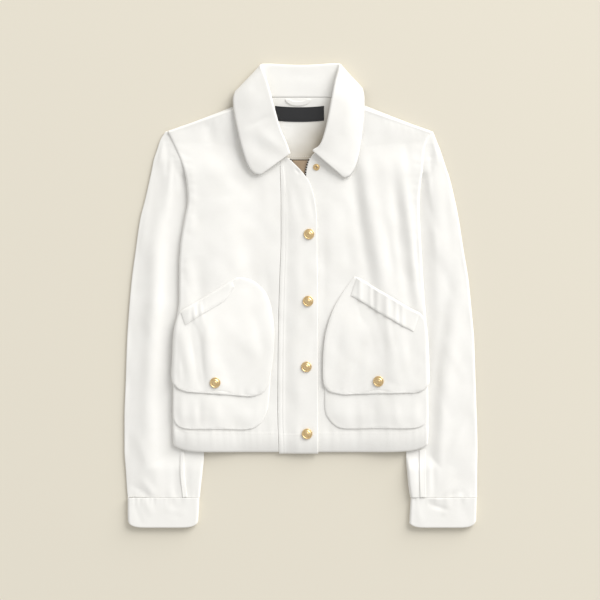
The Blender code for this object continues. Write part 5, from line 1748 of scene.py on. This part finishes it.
# %% Make the collar
def collar():
    """The collar's middle surface with its creases. Its first row is tucked into the neck seam."""
    fine = between(0, 1, 500)
    at = section_rows(COLLAR, fine)
    run = np.cumsum(np.hypot(np.gradient(at["edge_x"]), np.gradient(at["edge_y"])) + 0.3)
    places = spread(run[-1] - run[0], 2.2, ROUND_EDGE, ROUND_EDGE)
    sections = np.interp(places, run - run[0], fine)
    middle = collar_middle(sections)
    x, y, number = middle[..., 0], middle[..., 1], np.arange(len(middle))[:, None]
    leaf = smooth(*LEAF_ROWS, number)
    above = np.clip(np.cos(np.radians(section_rows(COLLAR, sections)["turn"])), 0.0, 1.0)[None, :]
    out = np.clip((number - LEAF_RISE_ROW) / (len(middle) - 1.0 - LEAF_RISE_ROW), 0.0, 1.0)
    middle[..., 2] += LEAF_RISE * out * above * smooth(-20.0, -50.0, x)
    crease = folds(COLLAR_CREASES, x, y) + ripple(x, y, 29, 0.012)
    middle[..., 2] += crease * (leaf * above + (1.0 - leaf) * 0.5 * (1.0 - above))
    outward = middle[0] - middle[1]
    tucked = middle[0] + outward / np.linalg.norm(outward, axis=-1, keepdims=True) * NECK_TUCK
    middle = np.concatenate([tucked[None], middle])
    make_piece("collar", middle, COLLAR_TWILL, twill, "folded",
               ["front_right_cloth", "front_left_cloth", "back_cloth"], sewn=("start_row",))


collar()

# %% [markdown]
# # The snaps
# A snap's cap is turned: a profile carried once round its axis. A rolled rim stands round a low
# dome with a ring in it. The open stud at the neck is a ring with a hollow post, where the top
# snap would press in.

# %% Places and profiles of the snaps
PLACKET_SNAPS = ((12.5, 93.5), (11.0, -7.0), (8.5, -105.5), (9.5, -206.0))
FLAP_SNAPS = {"right": (-128.5, -129.0), "left": (117.0, -127.0)}
STUD_PLACE = (23.5, 194.0)
TURNS = 48
SNAP_CAP = table(
    "radius height",
    (0.02, 0.0),
    (7.2, 0.0),
    (7.7, 0.4),
    (8.0, 1.1),
    (7.9, 1.7),
    (7.5, 2.1),
    (6.9, 2.2),
    (6.4, 2.0),
    (6.1, 1.7),
    (5.7, 1.7),
    (5.3, 2.1),
    (4.7, 2.6),
    (3.9, 2.9),
    (3.3, 2.95),
    (3.0, 2.8),
    (2.6, 2.85),
    (2.1, 3.2),
    (1.2, 3.5),
    (0.02, 3.6),
)
STUD = table(
    "radius height",
    (1.4, 0.0),
    (4.4, 0.0),
    (4.9, 0.4),
    (5.0, 0.8),
    (4.6, 1.2),
    (4.0, 1.25),
    (3.5, 1.0),
    (3.1, 1.1),
    (2.8, 1.6),
    (2.6, 2.3),
    (2.2, 2.6),
    (1.8, 2.5),
    (1.5, 2.1),
    (1.4, 1.4),
)

# %% Make the snaps
def turned(name, profile, place, axis, closed, node):
    """x = r cos a, y = r sin a, z = h for every point (r, h) of the profile and every angle a."""
    angle = 2 * math.pi * np.arange(TURNS) / TURNS
    radius, height = profile["radius"][:, None], profile["height"][:, None]
    rings = np.stack([radius * np.cos(angle), radius * np.sin(angle), height + 0 * angle], -1)
    turn = np.array(Vector((0, 0, 1)).rotation_difference(Vector(axis)).to_matrix())
    points = rings.reshape(-1, 3) @ turn.T + place
    index = np.arange(len(points)).reshape(rings.shape[:2])
    if closed:
        index = np.vstack([index, index[:1]])
    after = np.roll(index, -1, axis=1)
    faces = np.stack([index[:-1], after[:-1], after[1:], index[1:]], -1).reshape(-1, 4)
    made = make_mesh(name, points, faces, brass)
    close_tubes(made)
    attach(made, "root")
    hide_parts(node)
    print(f"{name}: {2 * radius.max():.0f} mm across")


def stand_on(height, place, out):
    """A point above a surface, and the surface's normal there."""
    x, y = np.array(place, float)[:, None]
    low, high = (moved_out(height, x, y, np.array([up]))[0] for up in (0.0, 1.0))
    return low + (high - low) * out, high - low


on_placket = PLACKET_TWILL / 2 + 0.1
for number, place in enumerate(PLACKET_SNAPS, 1):
    hem = HEM_EXTRA if place[1] < HEM_TOP + 8.0 else 0.0
    point, axis = stand_on(placket_surface, place, on_placket + hem)
    turned(f"placket_snap_{number}_cap", SNAP_CAP, point, axis, False, f"placket_snap_{number}")

for side, place in FLAP_SNAPS.items():
    fold = folds(FLAP_FOLDS[side], *np.array(place, float)[:, None])[0]
    out = flap_out(place[1]) + POCKET_TWILL / 2 + 0.1 + max(fold, 0.0)
    point, axis = stand_on(front_of(side), place, out)
    turned(f"flap_snap_{side}_cap", SNAP_CAP, point, axis, False, f"flap_snap_{side}")

point, axis = stand_on(front_of("left"), STUD_PLACE, TWILL / 2 + 0.1)
turned("neck_stud_ring", STUD, point, axis, True, "neck_stud")

# %% [markdown]
# # Floor and light
# The ground is a plain warm beige. One large soft light stands at the upper right, so that
# shadows fall a little to the lower left, and the white surroundings keep them open.

# %% Floor and light
FLOOR_COLOUR = (0.742, 0.694, 0.583, 1.0)
FLOOR_HALF = 6  # m
FLOOR_GAP = 0.0004  # the floor lies just below the jacket
SURROUND = 0.64  # strength of the white surroundings
KEY_PLACE = (7.1, 8.2, 5.1)
KEY_SIZE = 9.0
KEY_POWER = 1690.0
floor_finish = Finish("beige_ground", Base_Color=FLOOR_COLOUR, Roughness=0.9)
floor_mesh = bpy.data.meshes.new("floor")
low, high = -FLOOR_HALF, FLOOR_HALF
corners = [(x, y, -FLOOR_GAP) for x, y in ((low, low), (high, low), (high, high), (low, high))]
floor_mesh.from_pydata(corners, [], [(0, 1, 2, 3)])
floor_mesh.materials.append(floor_finish.material)
floor = bpy.data.objects.new("floor", floor_mesh)
bpy.context.scene.collection.objects.link(floor)


def soft_light(name, place, size, power):
    """A square light that looks at the jacket's middle."""
    data = bpy.data.lights.new(name, "AREA")
    data.size = size
    data.energy = power
    light = bpy.data.objects.new(name, data)
    light.location = place
    light.rotation_euler = (-Vector(place)).to_track_quat("-Z", "Y").to_euler()
    bpy.context.scene.collection.objects.link(light)


soft_light("key_light", KEY_PLACE, KEY_SIZE, KEY_POWER)
world = bpy.data.worlds.new("studio")
world.use_nodes = True
background = world.node_tree.nodes["Background"]
background.inputs["Color"].default_value = (1.0, 1.0, 1.0, 1.0)
background.inputs["Strength"].default_value = SURROUND
bpy.context.scene.world = world
print("one light of", KEY_SIZE, "m at", KEY_PLACE, "and white surroundings of", SURROUND)
